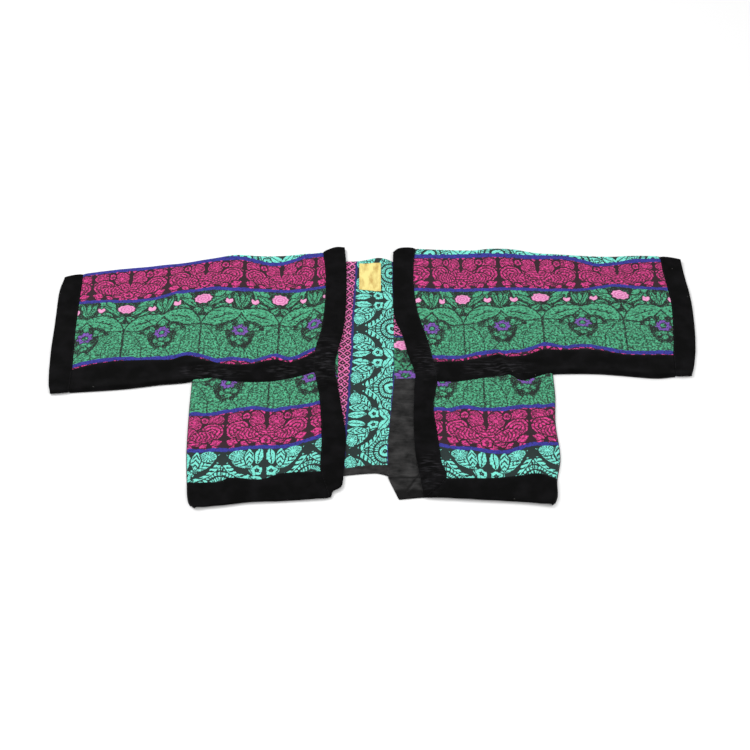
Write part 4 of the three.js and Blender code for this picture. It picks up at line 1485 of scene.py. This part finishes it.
@dataclass(frozen=True)
class TapestryFinish:
    """Bands of flowers, plumes and leaves, woven in chenille on a dark ground."""

    half_repeat: float = 82.5
    blue: float = 9.5
    magenta: float = 90.0
    green: float = 178.0
    turquoise: float = 85.0
    shift: float = 0.0  # of the whole repeat down the cloth
    lattice: float = 17.0  # period of the wrong side's lattice, along and across
    weave: float = 1.15  # size of one woven point
    slub: tuple[float, float] = (2.4, 1.2)
    speck: float = 1.3
    drift: tuple[float, float] = (11.0, 2.5)  # how long the weave's waver is, and how far it reaches
    lit: float = 4.4  # sizes of the blotches in the light of the threads
    patch: float = 13.0
    worn: float = 22.0
    hatch: float = 7.5  # spacing of the magenta band's slanting lines
    ground_colour: str = "211F21"
    green_colour: str = "51AE84"
    magenta_colour: str = "E0448F"
    pink_colour: str = "EC94CC"
    turquoise_colour: str = "7DE6D4"
    blue_colour: str = "3F3FA2"
    rose_colour: str = "F4A9D3"
    rose_heart: str = "BC4A92"
    purple_colour: str = "7C52AE"

    def magenta_band(self, bench: Bench, place: Wire) -> Wire:
        """Round plumes face to face between slim dark trees, over small blossoms."""
        far = self.half_repeat
        loom = Loom(bench, place, 1.0, outline=2.8, line_depth=0.9)
        loom.gap(0.0, 3.6, 0, 90)
        loom.gap(far, 2.4, 0, 90)
        for base, tip, half in (
            ((0, 2), (0, 66), 10), ((far, 2), (far, 32), 14), ((far, 54), (far, 96), 15),
            ((41, -8), (42, 44), 7), ((24, 94), (32, 76), 5), ((56, 94), (50, 76), 4),
        ):
            loom.leaf(base, tip, half, bright=False)
        loom.oval((63, 16), (16, 14), spokes=20)
        loom.oval((20, 22), (16, 20), spokes=24)
        loom.oval((57, 47), (22, 22), rings=3.0)
        loom.leaf((5, 34), (36, 84), 17, bend=0.2, veins=8)
        loom.leaf((14, 62), (68, 60), 14, bend=-0.15, veins=8)
        loom.oval((41, 14), (7, 8), rings=1.0)
        loom.oval((67, 76), (10, 8), petals=4)
        loom.oval((0, 76), (10, 10), petals=6, rings=1.0)
        loom.leaf((34, 88), (50, 78), 5)
        return loom.figure

    def green_band(self, bench: Bench, place: Wire, wrong: bool) -> tuple[Wire, Wire, Wire]:
        """Roses over broad winged leaves and slim trees, with small flowers between.

        Args:
            bench: the material's bench.
            place: the place on the half repeat.
            wrong: whether the wrong side shows, with its flowers on both axes.

        Returns:
            The green figure, the rose and the purple flower, as shares.
        """
        far = self.half_repeat
        loom = Loom(bench, place, 1.0, outline=2.8)
        loom.oval((10, 34), (42, 34), bright=False)
        loom.oval((far, 20), (24, 30), bright=False)
        loom.leaf((12, 44), (50, 12), 7, bend=-0.3, rib=True)
        loom.leaf((24, 16), (46, 0), 6)
        loom.leaf((2, 46), (30, 72), 8, rib=True)
        loom.leaf((26, 50), (52, 34), 6, rib=True)
        loom.leaf((81, 46), (66, 4), 6, rib=True)
        loom.leaf((far, 34), (far, 4), 4)
        loom.outline = 4.2
        loom.leaf((2, 92), (84, 54), 21, bend=-0.2)
        loom.outline = 0.3
        loom.leaf((16, 82), (68, 60), 1.5, bend=-1.2, bright=False)
        for x, y in ((28, 84), (42, 82), (56, 74), (32, 69), (48, 62), (62, 63)):
            loom.oval((x, y), (2.6, 1.6), bright=False)
        loom.outline = 2.8
        loom.leaf((34, 104), (76, 82), 9, bright=False)
        loom.leaf((54, 98), (88, 164), 11, bright=False)
        loom.outline = 1.8
        loom.leaf((4, 96), (40, 184), 22, bend=0.3)
        loom.leaf((64, 182), (84, 150), 9, bend=0.25)
        loom.oval((60, 96), (6, 9))
        loom.oval((49, 100), (5, 7))
        loom.leaf((far, 92), (far, 72), 6)
        for centre, radii in (((far, 126), (7, 6)), ((70, 130), (6, 6)), ((far, 140), (7, 6))):
            loom.oval(centre, radii)
        loom.gap(0.0, 2.0, 88, 178)
        loom.outline = 2.6
        petals = loom.oval((0, 22), (18, 13), bright=False, petals=9, frill=0.06)
        rose = (petals < 1.0) * (0.62 + ((petals * 2.7) * math.tau).sin() * 0.38)
        for side in (-6.5, 6.5):
            bud = loom.leaf((55, 35), (55 + side, 20), 4.2, bright=False)
            rose = rose | (bud > 0.0) * 0.9
        purple: Wire | float = 0.0
        for axis in (far, 0.0) if wrong else (far,):
            ring = loom.oval((axis, 106.0), (15.5, 14), bright=False, petals=8)
            purple = (ring < 1.0) * (ring > 0.48) | purple
            loom.figure = (ring < 0.34) | loom.figure
        return loom.figure, rose, purple

    def turquoise_band(self, bench: Bench, place: Wire) -> Wire:
        """Long plumes over arches of small leaves, with a tree between."""
        far = self.half_repeat
        loom = Loom(bench, place, 0.0, outline=2.4)
        loom.oval((far, 86), (56, 50), rings=4.4, spokes=34)
        loom.leaf((90, 0), (14, 74), 16, bend=-0.35, veins=9)
        loom.leaf((80, 10), (26, 64), 5, bend=-0.2, bright=False)
        loom.leaf((70, 12), (20, 48), 9, bend=-0.3, veins=6)
        loom.oval((53, 12), (17, 12), spokes=16)
        loom.leaf((14, 40), (9, -2), 9, rib=True)
        loom.leaf((29, 44), (31, -2), 9, veins=4)
        loom.oval((14, 55), (11, 11), rings=1.0, petals=5)
        loom.leaf((-2, 88), (28, 68), 9, rib=True)
        loom.leaf((22, 92), (48, 72), 8, veins=4)
        loom.leaf((38, 60), (58, 42), 3, bright=False)
        loom.gap(0.0, 4.5, 22, 62)
        loom.leaf((far, 2), (far, 34), 8, bright=False)
        return loom.figure

    def material(self, face: Face) -> bpy.types.Material:
        """Weaves the material of one side of the cloth.

        Args:
            face: the right side, or the wrong side with bolder ground and slimmer stripes.

        Returns:
            The material.
        """
        bench = Bench(f"tapestry {face.value}")
        wrong = face is Face.WRONG
        cloth = bench.cloth_place()
        woven = self.woven(bench, cloth)
        along, down = bench.parts(woven)
        aside = along.math("PINGPONG", self.half_repeat)
        repeat = 4 * self.blue + 2 * self.magenta + self.green + self.turquoise
        place = (down + self.shift) % repeat

        def on_band(depth: Wire) -> Wire:
            """The place on a band's half repeat."""
            return bench.node("ShaderNodeCombineXYZ", {0: aside, 1: depth, 2: 1.0})

        in_magenta = (place - self.blue) % (self.magenta + 2 * self.blue + self.green)
        in_green = place - (2 * self.blue + self.magenta)
        in_turquoise = place - (repeat - self.turquoise)
        green, rose, purple = self.green_band(bench, on_band(in_green), wrong)
        magenta = self.magenta_band(bench, on_band(in_magenta))
        turquoise = self.turquoise_band(bench, on_band(in_turquoise))
        magenta_here = (in_magenta < self.magenta) * (place < repeat - self.turquoise)
        green_here = (in_green > 0.0) * (in_green < self.green)
        slub = bench.scatter(cloth, self.slub)
        fine = bench.scatter(cloth, (self.speck, self.speck))
        lit = bench.noise(woven, self.lit)
        patch = bench.noise(woven, self.patch, 1.0)
        hatch = ((aside * 0.62 + down * 0.78 + lit * 14.0) * (math.tau / self.hatch)).sin() > 0.45
        green_speck = (1.0 - green) * (fine < (0.2 if wrong else 0.1)) * 0.7
        ground = linear(self.ground_colour)
        blue = bench.shade(bench.hue(self.blue_colour), 0.3 + 0.5 * slub + 0.45 * lit)
        colour = bench.mix(0.45 if wrong else (slub < 0.12) * 0.6, blue, ground)
        light = 0.3 * slub + 0.4 * lit + 0.3 * patch
        magenta_light = (0.10 + 1.66 * light) * (1.0 - 0.55 * hatch)
        green_light = (0.10 + 1.55 * light) * (0.8 if wrong else 1.0)
        green_worn = 0.43 + (in_green > 90.0) * 0.075
        for figure, here, bright, tone, bare, speck in (
            (magenta, magenta_here, self.magenta_colour, magenta_light, 0.42, None),
            (green, green_here, self.green_colour, green_light, green_worn, green_speck),
            (turquoise, in_turquoise > 0.0, self.turquoise_colour, 0.55 + 0.8 * light, 0.37, None),
        ):
            figure = figure * (1.0 - 0.8 * (lit + (slub - 0.5) * 0.2 < bare))
            if speck is not None:
                figure = figure | speck
            dark = bench.mix(0.025, ground, linear(bright))
            lively = bench.shade(bench.hue(bright), tone)
            colour = bench.mix(here, colour, bench.mix(figure, dark, lively))
        blush = (rose & 1.0) * (1.0 - 0.5 * (slub < 0.2))
        blush = bench.mix(blush, linear(self.rose_heart), linear(self.rose_colour))
        colour = bench.mix((rose > 0.1) * green_here, colour, blush)
        violet = bench.shade(bench.hue(self.purple_colour), 0.6 + 0.8 * lit)
        colour = bench.mix(purple * green_here * (slub > 0.22), colour, violet)
        if wrong:
            strands = self.strands(along, down) * (slub > 0.1)
            pink = bench.mix(patch, linear(self.magenta_colour), linear(self.pink_colour))
            lattice = bench.mix(strands, ground, bench.shade(pink, 0.5 + lit))
            colour = bench.mix(magenta_here * 0.95, colour, lattice)
        colour = bench.shade(colour, 0.84 + 0.3 * bench.noise(cloth, self.worn))
        ribs = abs((down * (math.pi / (2 * self.weave))).sin())
        bench.bump(slub * 0.5 + fine * 0.3 + ribs * 0.2, 0.6, 0.0007)
        return bench.finish(
            colour, Roughness=0.88, Sheen_Weight=0.06, Sheen_Roughness=0.5, Specular_IOR_Level=0.15,
        )

    def woven(self, bench: Bench, cloth: Wire) -> Wire:
        """The place on the cloth, wavering a little and held to whole woven points."""
        size, reach = self.drift
        values = {"Vector": cloth, "Scale": 1 / size, "Detail": 1.0}
        waver = bench.node("ShaderNodeTexNoise", values, "Color")
        values = {0: waver, 1: (2 * reach, 2 * reach, 0.0), 2: (-reach, -reach, 0.0)}
        drift = bench.node("ShaderNodeVectorMath", values, operation="MULTIPLY_ADD")
        drawn = bench.node("ShaderNodeVectorMath", {0: cloth, 1: drift}, operation="ADD")
        steps = (self.weave, self.weave, 1.0)
        return bench.node("ShaderNodeVectorMath", {0: drawn, 1: steps}, operation="SNAP")

    def strands(self, along: Wire, down: Wire) -> Wire:
        """The wrong side's lattice: slanting strands that cross, with a dot in each opening."""
        turn = math.pi / self.lattice
        one, other = abs(((along + down) * turn).sin()), abs(((along - down) * turn).sin())
        return ((one & other) < 0.36) | ((one & other) > 0.92)


@dataclass(frozen=True)
class VelvetFinish:
    """Black cotton velvet: a short nap, painted grey highlights along its creases in a few spots, and a
    little lint.

    A spot of painted crease highlight is its middle and half its size, in metres.
    """

    deep: str = "060606"
    brushed: str = "141315"
    # painted highlight: the grey that creases show where they catch the light
    crushed: str = "2E2D30"
    lint: str = "8C8A86"
    nap: float = 34.0  # sizes of its blotches and its creases, in millimetres
    crease: float = 4.4
    spots: tuple[tuple[float, float, float, float], ...] = (
        (-0.104, 0.022, 0.040, 0.075),
        (-0.330, -0.012, 0.085, 0.022),
        (-0.180, -0.008, 0.045, 0.024),
        (0.250, 0.000, 0.085, 0.028),
        (0.105, 0.020, 0.030, 0.060),
        (0.110, -0.270, 0.030, 0.060),
    )

    def material(self) -> bpy.types.Material:
        """Makes the material."""
        bench = Bench("black velvet")
        cloth = bench.cloth_place()
        nap = bench.noise(cloth, self.nap, 3.0)
        streak = bench.noise(bench.stretched(cloth, 0.2, 1.0), self.crease, 3.0)
        colour = bench.mix(((nap - 0.42) * 2.2).clamp(), linear(self.deep), linear(self.brushed))
        across, up = bench.object_place()
        near: Wire | float = 0.0
        for x, y, wide, tall in self.spots:
            dx, dy = (across - x) / wide, (up - y) / tall
            near = (1.0 - (dx * dx + dy * dy)) | near
        near = near & 1.0
        # painted highlight: grey streaks along the creases, only inside the spots
        painted_highlight = ((streak - 0.50) * 5.0).clamp()
        colour = bench.mix(painted_highlight * near, colour, linear(self.crushed))
        speck = bench.scatter(cloth, (1.4, 1.4)) > 0.99988
        colour = bench.mix(speck * 0.35, colour, linear(self.lint))
        bench.bump(bench.noise(cloth, 0.9, 1.0) * 0.4 + streak * (0.3 + near), 0.4, 0.0009)
        return bench.finish(
            colour, Roughness=0.95, Specular_IOR_Level=0.06, Sheen_Weight=0.16, Sheen_Roughness=0.35,
            Sheen_Tint=(0.62, 0.62, 0.66, 1.0),
        )


@dataclass(frozen=True)
class VelvetBackFinish:
    """The velvet's wrong side: a matt charcoal knit, creased across, mottled with painted shade and sheen,
    with painted shade along its seams and darker towards its foot.

    A seam, drawn as a line of painted shade, is its two ends and the foot is a place up the jacket, in
    metres.
    """

    pale: str = "424141"
    dark: str = "111111"
    # the colour of the painted shade at the seams, and of the darkening towards the foot
    shadow: str = "070707"
    seams: tuple[tuple[float, float, float, float], ...] = (
        (0.030, -0.2835, 0.100, -0.2825),
        (0.088, -0.270, 0.055, -0.322),
    )
    seam_reach: float = 0.0040
    foot: float = -0.308
    foot_reach: float = 0.006
    crease: float = 6.0  # sizes of its creases and its patches, which paint shade and sheen into the colour, in millimetres
    patch: float = 26.0

    def material(self) -> bpy.types.Material:
        """Makes the material."""
        bench = Bench("charcoal back of the velvet")
        cloth = bench.cloth_place()
        wale, course = bench.parts(cloth)
        knit = (wale * (math.tau / 1.3)).sin() * (course * math.tau).sin() * 0.5 + 0.5
        wrinkle = bench.noise(bench.stretched(cloth, 0.3, 1.0), self.crease)
        # painted shade and sheen: the wrinkles and soft patches darken and lighten the colour
        share = (bench.noise(cloth, self.patch, 3.0) - 0.3) * 1.7 + (wrinkle - 0.5) * 0.8
        colour = bench.mix(share.clamp(), linear(self.dark), linear(self.pale))
        colour = bench.shade(colour, 0.85 + 0.2 * knit)
        across, up = bench.object_place()
        # darker towards the foot, then painted shade along the hem seam and the mitre
        near = (self.foot - up) / self.foot_reach | 0.0
        for x0, y0, x1, y1 in self.seams:
            dx, dy = x1 - x0, y1 - y0
            along = (((across - x0) * dx + (up - y0) * dy) / (dx * dx + dy * dy)).clamp()
            away_x, away_y = across - x0 - along * dx, up - y0 - along * dy
            near = (1.0 - (away_x * away_x + away_y * away_y).root() / self.seam_reach) | near
        colour = bench.mix((near & 1.0) * 0.92, colour, linear(self.shadow))
        bench.bump(knit * 0.3 + wrinkle * 1.2, 0.5, 0.0012)
        return bench.finish(
            colour, Roughness=0.92, Specular_IOR_Level=0.12, Sheen_Weight=0.08, Sheen_Roughness=0.5,
        )


@dataclass(frozen=True)
class SatinFinish:
    """Plain yellow satin, soiled along its folds."""

    bright: str = "F7E68E"
    soiled: str = "B98A2C"
    stain: float = 13.0  # size of its stains and of its threads, in millimetres
    thread: float = 0.5

    def material(self) -> bpy.types.Material:
        """Makes the material."""
        bench = Bench("yellow satin")
        cloth = bench.cloth_place()
        worn = bench.noise(bench.stretched(cloth, 1.0, 0.35), self.stain, 3.0)
        colour = bench.mix(((worn - 0.45) * 3.2).clamp(), linear(self.bright), linear(self.soiled))
        across, _ = bench.parts(cloth)
        warp = (across * (math.tau / self.thread)).sin()
        bench.plug(bench.shader.inputs["Roughness"], worn * 0.15 + 0.38)
        colour = bench.shade(colour, 0.94 + 0.05 * warp)
        bench.bump(warp * 0.3 + worn * 0.7, 0.25, 0.0004)
        return bench.finish(colour, Specular_IOR_Level=0.45, Sheen_Weight=0.12)


@dataclass(frozen=True)
class PlainFinish:
    """A plain matt finish, for the floor."""

    name: str
    colour: str
    roughness: float

    def material(self) -> bpy.types.Material:
        """Makes the material."""
        return Bench(self.name).finish(linear(self.colour), Roughness=self.roughness, Specular_IOR_Level=0.1)


@dataclass(frozen=True)
class ThreadFinish:
    """Twisted sewing thread."""

    name: str
    colour: str
    twist: float = 0.0004

    def material(self) -> bpy.types.Material:
        """Makes the material."""
        bench = Bench(self.name)
        place = bench.node("ShaderNodeTexCoord", output="Object")
        ply = bench.noise(place, self.twist, 1.0)
        bench.bump(ply, 0.4, 0.0002)
        colour = bench.shade(bench.hue(self.colour), 0.7 + 0.6 * ply)
        return bench.finish(colour, Roughness=0.6, Specular_IOR_Level=0.3)


# ---------------------------------------------------------------- sewing


@dataclass(frozen=True)
class Stitching:
    """Machine stitches in one thread, along lines that lie on the cloth, in millimetres."""

    name: str
    pitch: float = 3.8
    length: float = 2.8
    thickness: float = 0.5
    unevenness: tuple[float, float] = (0.85, 1.1)  # the least and the greatest size of a stitch
    seed: int = 5
    sides: int = 6
    rings: int = 4

    def tree(self) -> bpy.types.NodeTree:
        """Builds the nodes: a long bead along each step of the lines, made real."""
        tree = bpy.data.node_groups.new(self.name, "GeometryNodeTree")
        face = tree.interface
        face.new_socket("Geometry", in_out="OUTPUT", socket_type="NodeSocketGeometry")
        face.new_socket("Geometry", in_out="INPUT", socket_type="NodeSocketGeometry")
        for label in ("Pitch", "Stitch Length", "Thread Thickness"):
            face.new_socket(label, in_out="INPUT", socket_type="NodeSocketFloat")
        face.new_socket("Thread", in_out="INPUT", socket_type="NodeSocketMaterial")

        def add(kind: str, links: dict | None = None, **settings: object) -> bpy.types.Node:
            """Adds a node with its settings, then its links or values."""
            made = tree.nodes.new(kind)
            for key, value in settings.items():
                setattr(made, key, value)
            for key, value in (links or {}).items():
                if isinstance(value, bpy.types.NodeSocket):
                    tree.links.new(value, made.inputs[key])
                else:
                    made.inputs[key].default_value = value
            return made

        given = add("NodeGroupInput").outputs
        thick = given["Thread Thickness"]
        lines = add("GeometryNodeMeshToCurve", {"Mesh": given["Geometry"]})
        spaced = {"Curve": lines.outputs[0], "Length": given["Pitch"]}
        steps = add("GeometryNodeResampleCurve", spaced, mode="LENGTH")
        bead = add("GeometryNodeMeshUVSphere", {"Segments": self.sides, "Rings": self.rings, "Radius": 0.5})
        size = add("ShaderNodeCombineXYZ", {0: given["Stitch Length"], 1: thick, 2: thick})
        stitch = add("GeometryNodeTransform", {"Geometry": bead.outputs[0], "Scale": size.outputs[0]})
        tangent = add("GeometryNodeInputTangent")
        along = add("FunctionNodeAlignRotationToVector", {"Vector": tangent.outputs[0]}, axis="X")
        least, most = self.unevenness
        uneven = add("FunctionNodeRandomValue", {2: least, 3: most, "Seed": self.seed}, data_type="FLOAT")
        sewn = add("GeometryNodeInstanceOnPoints", {
            "Points": steps.outputs[0], "Instance": stitch.outputs[0], "Rotation": along.outputs[0],
            "Scale": uneven.outputs[1],
        })
        real = add("GeometryNodeRealizeInstances", {"Geometry": sewn.outputs[0]})
        thread = add("GeometryNodeSetMaterial", {"Geometry": real.outputs[0], "Material": given["Thread"]})
        add("NodeGroupOutput", {"Geometry": thread.outputs[0]})
        return tree

    def sew(self, lines: Sequence[np.ndarray], thread: bpy.types.Material) -> bpy.types.Object:
        """Sews along the lines.

        Args:
            lines: points of each line.
            thread: the thread's finish.

        Returns:
            The stitches, as one plain mesh.
        """
        points: list[list[float]] = []
        edges: list[tuple[int, int]] = []
        for line in lines:
            first = len(points)
            points += ((line + TO_MIDDLE) * MM).tolist()
            edges += [(k, k + 1) for k in range(first, len(points) - 1)]
        drawn = bpy.data.meshes.new(self.name)
        drawn.from_pydata(points, edges, [])
        piece = bpy.data.objects.new(self.name, drawn)
        bpy.context.scene.collection.objects.link(piece)
        tree = self.tree()
        modifier = piece.modifiers.new("stitches", "NODES")
        modifier.node_group = tree
        values = {
            "Pitch": self.pitch * MM, "Stitch Length": self.length * MM,
            "Thread Thickness": self.thickness * MM, "Thread": thread,
        }
        for socket in tree.interface.items_tree:
            if socket.name in values:
                modifier[socket.identifier] = values[socket.name]
        evaluated = piece.evaluated_get(bpy.context.evaluated_depsgraph_get())
        plain = bpy.data.meshes.new_from_object(evaluated)
        piece.modifiers.clear()
        piece.data = plain
        plain.polygons.foreach_set("use_smooth", np.ones(len(plain.polygons), bool))
        return piece


# ---------------------------------------------------------------- the studio


@dataclass(frozen=True)
class Studio:
    """A pale floor, soft light and the camera."""

    distance: float = 3.385
    elevation: float = 47.5
    lens: float = 80.64
    sensor: float = 36.0
    target: tuple[float, float, float] = (0.0011, -0.0177, 0.004)
    floor_size: float = 14.0
    floor_drop: float = 0.0006
    daylight: float = 0.72
    lamps: tuple[tuple[str, tuple[float, float, float], float, float], ...] = (
        ("key", (-1.9, 1.3, 2.9), 1.8, 62),
        ("fill", (1.8, -2.2, 2.6), 2.6, 40),
    )

    def build(self) -> None:
        """Makes the floor, the light and the camera."""
        bpy.context.scene.view_settings.view_transform = "Standard"
        bpy.ops.mesh.primitive_plane_add(size=self.floor_size, location=(0, 0, -self.floor_drop))
        floor = bpy.context.object
        floor.name = "floor"
        floor.data.materials.append(PlainFinish("pale floor", "F6F6F6", 0.9).material())
        self._light()
        self._camera()

    def _light(self) -> None:
        """Makes an even white world and two large soft lamps that face the jacket."""
        scene = bpy.context.scene
        world = bpy.data.worlds.new("studio")
        world.use_nodes = True
        background = world.node_tree.nodes["Background"]
        background.inputs["Color"].default_value = (1, 1, 1, 1)
        background.inputs["Strength"].default_value = self.daylight
        scene.world = world
        for name, place, size, power in self.lamps:
            light = bpy.data.lights.new(name, "AREA")
            light.size, light.energy = size, power
            lamp = bpy.data.objects.new(name, light)
            lamp.location = place
            lamp.rotation_euler = (-Vector(place)).to_track_quat("-Z", "Y").to_euler()
            scene.collection.objects.link(lamp)

    def _camera(self) -> None:
        """Makes the camera, which looks down at the jacket from its hem."""
        scene = bpy.context.scene
        camera = bpy.data.cameras.new("camera")
        camera.lens, camera.sensor_width = self.lens, self.sensor
        camera.clip_end = 50
        eye = bpy.data.objects.new("camera", camera)
        angle = math.radians(self.elevation)
        aim = Vector((0, -math.cos(angle), math.sin(angle)))
        eye.location = Vector(self.target) + aim * self.distance
        eye.rotation_euler = aim.to_track_quat("Z", "Y").to_euler()
        scene.collection.objects.link(eye)
        scene.camera = eye


# ---------------------------------------------------------------- the jacket


@dataclass(frozen=True)
class Cut:
    """The flat size that a piece was cut to and its area, in metres, its cloth and what it lies on."""

    width: float
    length: float
    area: float
    slot: str
    rests_on: str = "floor"


CUTS = {
    "yoke_sleeve": Cut(0.57, 0.70, 0.336, "tapestry", "back_side_left"),
    "cuff": Cut(0.66, 0.05, 0.031, "velvet", "back_side_left"),
    "underarm_front": Cut(0.53, 0.08, 0.029, "velvet", "back_side_left"),
    "underarm_back": Cut(0.26, 0.08, 0.0126, "velvet"),
    "front": Cut(0.26, 0.29, 0.064, "tapestry", "back_side_left"),
    "front_hem": Cut(0.27, 0.08, 0.0152, "velvet", "back_side_left"),
    "front_band": Cut(0.06, 0.73, 0.0315, "velvet", "back_side_left"),
    "back_side": Cut(0.34, 0.31, 0.086, "velvet_wrong_side"),
    "back_hem": Cut(0.33, 0.07, 0.016, "velvet_wrong_side"),
    "back_centre": Cut(0.12, 0.59, 0.064, "tapestry_wrong_side"),
    "back_hem_centre": Cut(0.11, 0.03, 0.0021, "velvet_wrong_side"),
    "label": Cut(0.05, 0.088, 0.0042, "satin_label", "back_centre"),
}


@dataclass
class Jacket:
    """The whole jacket."""

    sides: tuple[JacketSide, ...] = field(default_factory=lambda: (JacketSide(RIGHT), JacketSide(LEFT)))
    centre: CentreBack = field(default_factory=CentreBack)
    stitch_inset: float = 2.6
    label_stitch_inset: float = 2.0
    black_thread: str = "17171A"
    yellow_thread: str = "D8B455"

    def finishes(self) -> dict[str, list[bpy.types.Material]]:
        """Each piece's outer finish and inner finish."""
        cloth = TapestryFinish().material(Face.RIGHT)
        slim = TapestryFinish(blue=4.5, magenta=95.0, green=183.0, turquoise=90.0, shift=-2.5)
        wrong = slim.material(Face.WRONG)
        velvet, back = VelvetFinish().material(), VelvetBackFinish().material()
        satin = SatinFinish().material()
        faces = {"tapestry": [cloth, wrong], "velvet": [velvet, back], "satin_label": [satin, satin]}
        return {kind: faces[cut.slot.removesuffix("_wrong_side")] for kind, cut in CUTS.items()}

    def build(self) -> None:
        """Sews every piece and says what it stands for."""
        finishes = self.finishes()
        panels = [(kind, panel) for side in self.sides for kind, panel in side.panels().items()]
        centre = (self.centre.body(), self.centre.hem(), self.centre.label())
        panels += [(panel.name, panel) for panel in centre]
        for kind, panel in panels:
            piece = panel.mesh(finishes[kind])
            piece.name = f"{panel.name}_cloth"
            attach(piece, "root")
            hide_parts(panel.name)
            LOG.info("%s: %d faces", piece.name, len(piece.data.polygons))
        self.sew({panel.name: panel for _, panel in panels})

    def sew(self, panels: dict[str, Panel]) -> None:
        """Runs the stitches beside the seams, and round the label.

        Args:
            panels: every panel, by its name.
        """
        inset = self.stitch_inset
        black = [
            panels[f"{kind}_{side.lay.wearer.word}"].line(1, end, inset)
            for side in self.sides
            for kind, end in (("front_band", 0), ("cuff", 1), ("underarm_front", 1), ("front_hem", 1))
        ]
        for name, axis in (
            ("back_hem_left", 1), ("back_hem_centre", 1), ("back_side_left", 0), ("back_side_left", 1),
        ):
            black.append(panels[name].line(axis, 1, inset, outer=False))
        label = [
            panels["label"].line(axis, end, self.label_stitch_inset) for axis in (0, 1) for end in (0, 1)
        ]
        small = Stitching("label_stitches", pitch=3.0, length=2.1, thickness=0.42)
        for stitching, lines, thread, slot in (
            (Stitching("seam_stitches"), black, ThreadFinish("black thread", self.black_thread), "velvet"),
            (small, label, ThreadFinish("yellow thread", self.yellow_thread), "satin_label"),
        ):
            piece = stitching.sew(lines, thread.material())
            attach(piece, "root")
            LOG.info("%s: %d faces", piece.name, len(piece.data.polygons))


def main() -> None:
    """Builds the studio and the jacket."""
    logging.basicConfig(level=logging.INFO, format="%(name)s %(message)s")
    Studio().build()
    Jacket().build()


if __name__ == "__main__":
    main()
